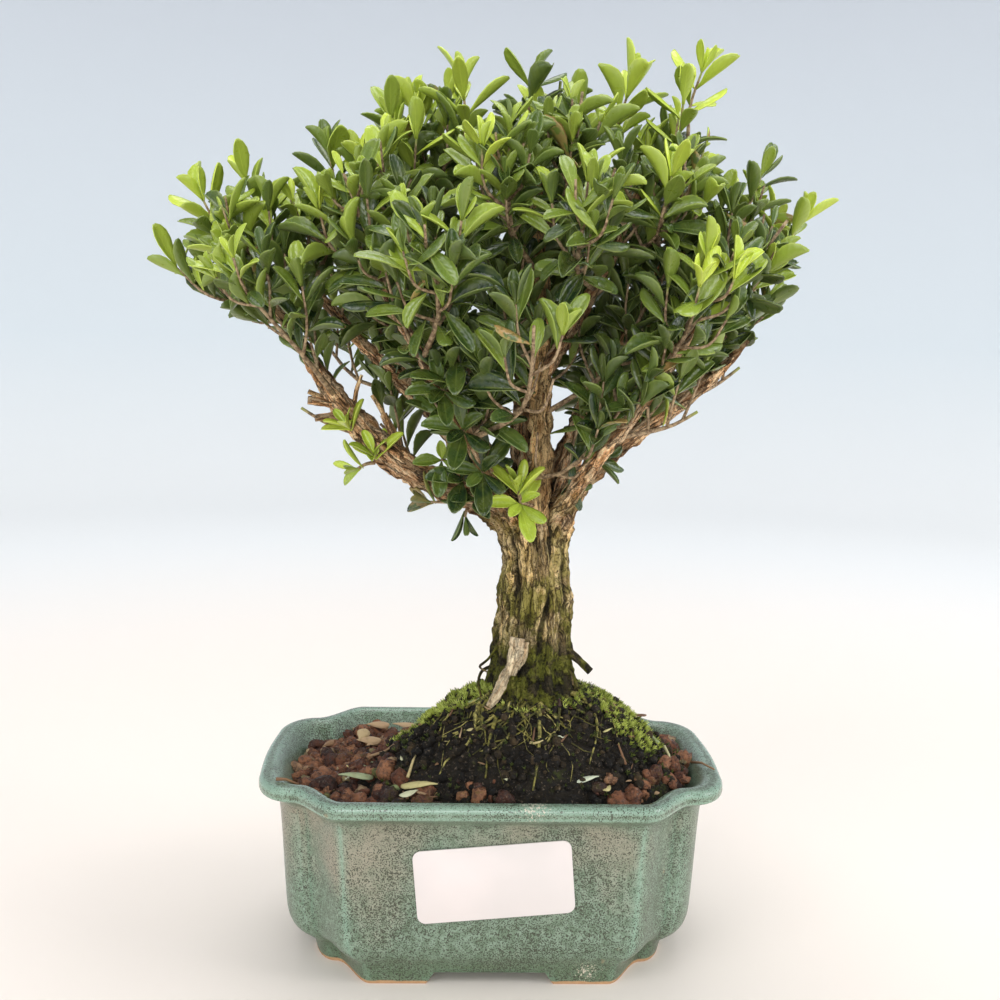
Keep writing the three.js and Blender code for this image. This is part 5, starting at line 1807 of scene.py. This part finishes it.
def add_shoot(stack, models, path, radii, draw, look, age, age_tip, first, spacing, limit, large=1.0):
    """A stem with pairs of leaves, each pair square to the one below, and a tuft at its tip."""
    roll = 3 * draw()
    length = add_stem(stack, path, radii, age_tip, draw())
    pairs = max(int(length * (1 - first) / spacing), 2)
    for pair in range(pairs + 2):
        share = min(lerp(first, 1.0, pair / pairs), 0.995)
        root = curve_point(path, share)
        ahead = heading_at(path, share)
        tip_share = min(pair / pairs, 1)
        turn = roll + pair * math.pi / 2 + 0.4 * (draw() - 0.5)
        across = square_to(ahead)
        last = pair - pairs + 1 if pair >= pairs else 0
        for half in (0, math.pi):
            if not last and draw() < 0.08:
                continue
            side = turned(across, ahead, turn + half + 0.2 * (draw() - 0.5))
            opening = lerp(1.12, 0.58, tip_share) + 0.4 * (draw() - 0.5) - 0.2 * last
            along = (ahead * math.cos(opening) + side * math.sin(opening)).normalized()
            outward = (root - GROWTH_POINT).normalized()
            face = ahead * math.sin(opening) - side * math.cos(opening) + outward * 0.7 + Vector((0, 0, 0.35))
            face = flattened(face, along)
            size = large * look.leaf_length / MM * lerp(0.76, 1.14, draw()) * (1, 0.84, 0.62)[last]
            ratio = look.leaf_width * lerp(0.88, 1.2, draw())
            if not in_crown(root + along * size, limit) or hides_stem(root + along * (0.6 * size)):
                continue
            # Leaves deeper in the crown get a darker tone: partly older leaves, partly painted shade.
            outside = smooth_step(crown_share(root), 0.66, 0.98)
            tone = lerp(age, age_tip, tip_share ** 1.5) * lerp(0.42, 1.2, outside) + 0.52 * (draw() - 0.5)
            # Leaves on the left are made lighter and those on the right darker.
            tone += 0.09 * smooth_step(-root.x, 0, 60) - 0.11 * smooth_step(root.x, 10, 60)
            model = pick(models, draw)
            add_leaf(
                stack, model, root + side * widths_at(radii, share), along, face, size, ratio,
                age=min(max(tone, 0), 1), chance=draw(),
            )


def widths_at(radii, share):
    """How far from a stem's middle a leaf sets out."""
    return 0.8 * lerp(radii[0], radii[1], share)


def spray_path(spray):
    """The main stem's points, ending inside the crown's outside."""
    path = [spray["fork"], spray["bend"], spray["end"]]
    last = 1.0
    while last > 0.6 and not in_crown(curve_point(path, last) + spray["heading"] * 4, 1.0):
        last -= 0.04
    return [curve_point(path, last * step / 4) for step in range(5)]


def spray_stack(spray, models, look):
    """One spray: its leafy main stem and the side shoots along it."""
    stack = ShapeStack(*LEAF_MARKS)
    draw = random_from(SEEDS["spray"] + spray["number"])
    path, heading = spray_path(spray), spray["heading"]
    height = smooth_step(spray["end"].z, 150, 235)
    limit = lerp(0.96, 1.05, draw())
    age = lerp(0.16, 0.36, height)
    age_tip = lerp(0.36, 0.58, height)
    if spray["bright"]:
        age_tip = lerp(0.8, 1.0, draw())
        age = lerp(0.35, 0.5, draw())
    # Sprays deep inside the crown get dark leaves: partly older leaves, partly painted shade.
    if spray["inner"]:
        age, age_tip = 0.08, 0.24
    add_shoot(stack, models, path, (0.8, 0.4), draw, look, age, age_tip, 0.42, 4.2, limit)
    for index in range(look.shoots):
        share = lerp(0.3, 0.92, (index + draw()) / look.shoots)
        root = curve_point(path, share)
        side = turned(square_to(heading), heading, spray["roll"] + index * LEAF_TWIST + 0.5 * draw())
        opening = lerp(1.05, 0.6, share)
        length = lerp(21, 13, share) * lerp(0.8, 1.15, draw())
        young = age_tip if draw() < 0.6 else age
        start = heading * math.cos(opening) + side * math.sin(opening)
        start.z = max(start.z, -0.1)
        start.normalize()
        finish = (start * 0.45 + heading * 0.3 + Vector((0, 0, 0.6))).normalized()
        while length > 7 and not in_crown(root + start * (0.5 * length) + finish * (0.5 * length + 4), limit):
            length *= 0.86
        if length > 7:
            middle = root + start * (length * 0.5)
            shoot = [root, middle, middle + finish * (length * 0.5)]
            add_shoot(stack, models, shoot, (0.45, 0.28), draw, look, age, young, 0.2, 3.5, limit)
    return stack


def limb_shoots(stack, models, look, limb, draw, first, spacing):
    """Short leafy shoots straight from a limb, from a share of its length on."""
    points = limb_points(limb)
    count = int(path_length(points) * (1 - first) / spacing)
    for index in range(count):
        share = lerp(first, 0.98, (index + draw()) / max(count, 1))
        root = curve_point(points, share)
        ahead = heading_at(points, share)
        side = turned(square_to(ahead), ahead, LEAF_TWIST * index + draw())
        side.z = abs(side.z) * 0.8 + 0.1
        start = (ahead * 0.55 + side).normalized()
        reach = lerp(9, 17, draw())
        middle = root + start * (reach * 0.5)
        finish = (start + ahead * 0.5 + Vector((0, 0, 0.4))).normalized()
        path = [root, middle, middle + finish * (reach * 0.5)]
        age = lerp(0.04, 0.26, draw())
        if in_crown(path[2], 0.98):
            add_shoot(stack, models, path, (0.5, 0.3), draw, look, age, age + 0.14, 0.3, 3.8, 1.0)


def leader_stack(models, look, stems):
    """The shoots that stand out of the crown, each from the nearest stem."""
    stack = ShapeStack(*LEAF_MARKS)
    draw = random_from(SEEDS["leaders"])
    for *tip, young in LEADERS:
        tip = Vector(tip)
        heading = (tip - GROWTH_POINT).normalized()
        heading.z += lerp(0.1, 0.9, smooth_step(heading.z, 0.5, 0.9))
        heading.normalize()
        aim = tip - heading * LEADER_LENGTH
        root = min(stems, key=lambda point: (point - aim).length)
        top = tip - heading * 7.0
        lean = heading + Vector((draw() - 0.5, draw() - 0.5, 0)) * 0.25
        path = [root, top - lean * (0.5 * (top - root).length), top]
        add_shoot(stack, models, path, (0.55, 0.3), draw, look, 0.55 * young, young, 0.3, 3.6, 1.25, 1.12)
    return stack


def add_sprig(stack, models, draw, root, tip, heading, leaves, opening, length, ratio, age, chance):
    """A short stem from old wood with a rosette of leaves."""
    root, tip, heading = Vector(root), Vector(tip), Vector(heading).normalized()
    add_stem(stack, [root, (root + tip) / 2 + Vector((0, 0, 0.4)), tip], (0.6, 0.35), 0.6 * age, 0.5)
    for index in range(leaves):
        inner = index / max(leaves - 1, 1)
        side = turned(square_to(heading), heading, index * LEAF_TWIST + 0.5 * (draw() - 0.5))
        wide = opening * lerp(1, 0.4, inner ** 1.5)
        along = heading * math.cos(wide) + side * math.sin(wide)
        face = heading * math.sin(wide) - side * math.cos(wide)
        size = length * lerp(1.0, 0.7, inner) * lerp(0.9, 1.08, draw())
        add_leaf(
            stack, models[index % len(models)], tip - heading * (1.6 * (1 - inner)), along, face, size, ratio,
            age=min(max(age + 0.5 * (draw() - 0.6), 0), 1), chance=chance,
        )


class BONSAI_OT_foliage(bpy.types.Operator):
    """Makes the leafy sprays of the crown and the shoots on the limbs"""

    bl_idname = "bonsai.foliage"
    bl_label = "Foliage"

    def execute(self, context):
        look = context.scene.bonsai_crown
        models = [(leaf_model(*form, LEAF_COLUMNS), leaf_model(*form, PLAIN_COLUMNS)) for form in LEAF_FORMS]
        finishes = [leaf_finish(look), twig_finish()]
        stems = []
        for spray in plan_sprays():
            young = spray["bright"]
            node = f"{'young' if young else 'mature'}_spray_{spray['number']:02d}"
            piece = spray_stack(spray, models, look).make(f"leafy_{node}")
            dress(piece, "young_leaf" if young else "mature_leaf", finishes, node)
            stems += [curve_point(spray_path(spray), step / 16) for step in range(6, 17)]
        dress(leader_stack(models, look, stems).make("leading_shoots"), "young_leaf", finishes)
        draw = random_from(SEEDS["limb_shoots"])
        for name, limb in LIMBS.items():
            stack = ShapeStack(*LEAF_MARKS)
            first = FIRST_SHOOTS.get(name, COMMON_FIRST_SHOOT)
            limb_shoots(stack, models, look, limb, draw, first, LIMB_SHOOT_SPACING)
            dress(stack.make(f"shoots_on_{name}"), "mature_leaf", finishes)
        stack = ShapeStack(*LEAF_MARKS)
        for sprig in SPRIGS:
            add_sprig(stack, models, draw, *sprig)
        dress(stack.make("sprigs_on_old_wood"), "young_leaf", finishes)
        return {"FINISHED"}


# Stage, lights and camera


def soft_light(name, place, aim_height, size, power):
    """A round area light that faces a point above the middle."""
    bpy.ops.object.light_add(type="AREA", location=place)
    light = bpy.context.object
    light.name = name
    light.data.shape = "DISK"
    light.data.size = size
    light.data.energy = power
    aim = Vector((0, 0, aim_height)) - Vector(place)
    light.rotation_euler = aim.to_track_quat("-Z", "Y").to_euler()


def studio_shell():
    """A round floor that curves up into a wall."""
    clear_selection()
    bpy.ops.mesh.primitive_circle_add(vertices=96, radius=FLOOR_RADIUS, fill_type="NGON")
    shell = take_active("studio_floor")
    bpy.ops.object.mode_set(mode="EDIT")
    bpy.ops.mesh.select_all(action="DESELECT")
    shape = bmesh.from_edit_mesh(shell.data)
    for edge in shape.edges:
        edge.select_set(True)
    bmesh.update_edit_mesh(shell.data)
    radius = FLOOR_RADIUS
    for step in range(1, CURVE_STEPS + 1):
        turn, turn_before = (at / CURVE_STEPS * math.pi / 2 for at in (step, step - 1))
        wider = FLOOR_RADIUS + CURVE_RADIUS * math.sin(turn)
        bpy.ops.mesh.extrude_edges_move()
        bpy.ops.transform.resize(value=(wider / radius, wider / radius, 1), center_override=(0, 0, 0))
        rise = CURVE_RADIUS * (math.cos(turn_before) - math.cos(turn))
        bpy.ops.transform.translate(value=(0, 0, rise))
        radius = wider
    bpy.ops.mesh.extrude_edges_move(TRANSFORM_OT_translate={"value": (0, 0, WALL_HEIGHT)})
    bpy.ops.mesh.select_all(action="SELECT")
    bpy.ops.mesh.normals_make_consistent(inside=True)
    bpy.ops.object.mode_set(mode="OBJECT")
    bpy.ops.object.shade_smooth_by_angle(angle=math.radians(40))
    return shell


def studio_world():
    """Even light from all round."""
    world = bpy.data.worlds.new("studio_light")
    world.use_nodes = True
    background = world.node_tree.nodes["Background"]
    background.inputs["Color"].default_value = WORLD_COLOUR
    background.inputs["Strength"].default_value = WORLD_STRENGTH
    return world


def photo_camera(lens):
    """The camera at the photo's place."""
    bpy.ops.object.camera_add()
    camera = take_active("photo_camera")
    ahead, up = Vector(CAMERA_AHEAD), Vector(CAMERA_UP)
    turn = Matrix((ahead.cross(up), up, -ahead)).transposed().to_4x4()
    camera.matrix_world = Matrix.Translation(to_row(CAMERA_PLACE)) @ turn
    camera.data.lens = lens
    camera.data.clip_start = 0.01
    return camera


class BONSAI_OT_stage(bpy.types.Operator):
    """Makes the pale floor and wall, the soft lights and the camera"""

    bl_idname = "bonsai.stage"
    bl_label = "Stage"

    def execute(self, context):
        look = context.scene.bonsai_studio
        floor = studio_shell()
        floor.data.materials.append(studio_finish(look))
        floor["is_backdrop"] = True
        for light in LIGHTS:
            soft_light(*light)
        context.scene.world = studio_world()
        context.scene.camera = photo_camera(look.lens)
        context.scene.view_settings.view_transform = "Standard"
        return {"FINISHED"}


PIECES = (
    BONSAI_OT_pot, BONSAI_OT_label, BONSAI_OT_soil, BONSAI_OT_moss, BONSAI_OT_litter,
    BONSAI_OT_wood, BONSAI_OT_foliage, BONSAI_OT_stage,
)


class BONSAI_PT_panel(bpy.types.Panel):
    """Lists the bonsai's pieces and their settings"""

    bl_label = "Boxwood Bonsai"
    bl_idname = "BONSAI_PT_panel"
    bl_space_type = "VIEW_3D"
    bl_region_type = "UI"
    bl_category = "Bonsai"

    def draw(self, context):
        for name, group in SETTINGS.items():
            box = self.layout.box()
            for setting in group.__annotations__:
                box.prop(getattr(context.scene, name), setting)
        for piece in PIECES:
            self.layout.operator(piece.bl_idname)


CLASSES = (*SETTINGS.values(), *PIECES, BONSAI_PT_panel)


def register():
    """Registers the classes and puts the settings on the scene."""
    for each in CLASSES:
        bpy.utils.register_class(each)
    for name, group in SETTINGS.items():
        setattr(bpy.types.Scene, name, bpy.props.PointerProperty(type=group))


def unregister():
    """Takes the settings off the scene and the classes away."""
    for name in SETTINGS:
        delattr(bpy.types.Scene, name)
    for each in reversed(CLASSES):
        bpy.utils.unregister_class(each)


def main():
    """Makes every piece in order."""
    register()
    bpy.ops.bonsai.pot()
    bpy.ops.bonsai.label()
    bpy.ops.bonsai.soil()
    bpy.ops.bonsai.moss()
    bpy.ops.bonsai.litter()
    bpy.ops.bonsai.wood()
    bpy.ops.bonsai.foliage()
    bpy.ops.bonsai.stage()
    boxes = {"cad": CAD_BOX, "visual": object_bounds()}
    sizes = {name: [list(corner) for corner in box] for name, box in boxes.items()}


if __name__ == "__main__":
    main()
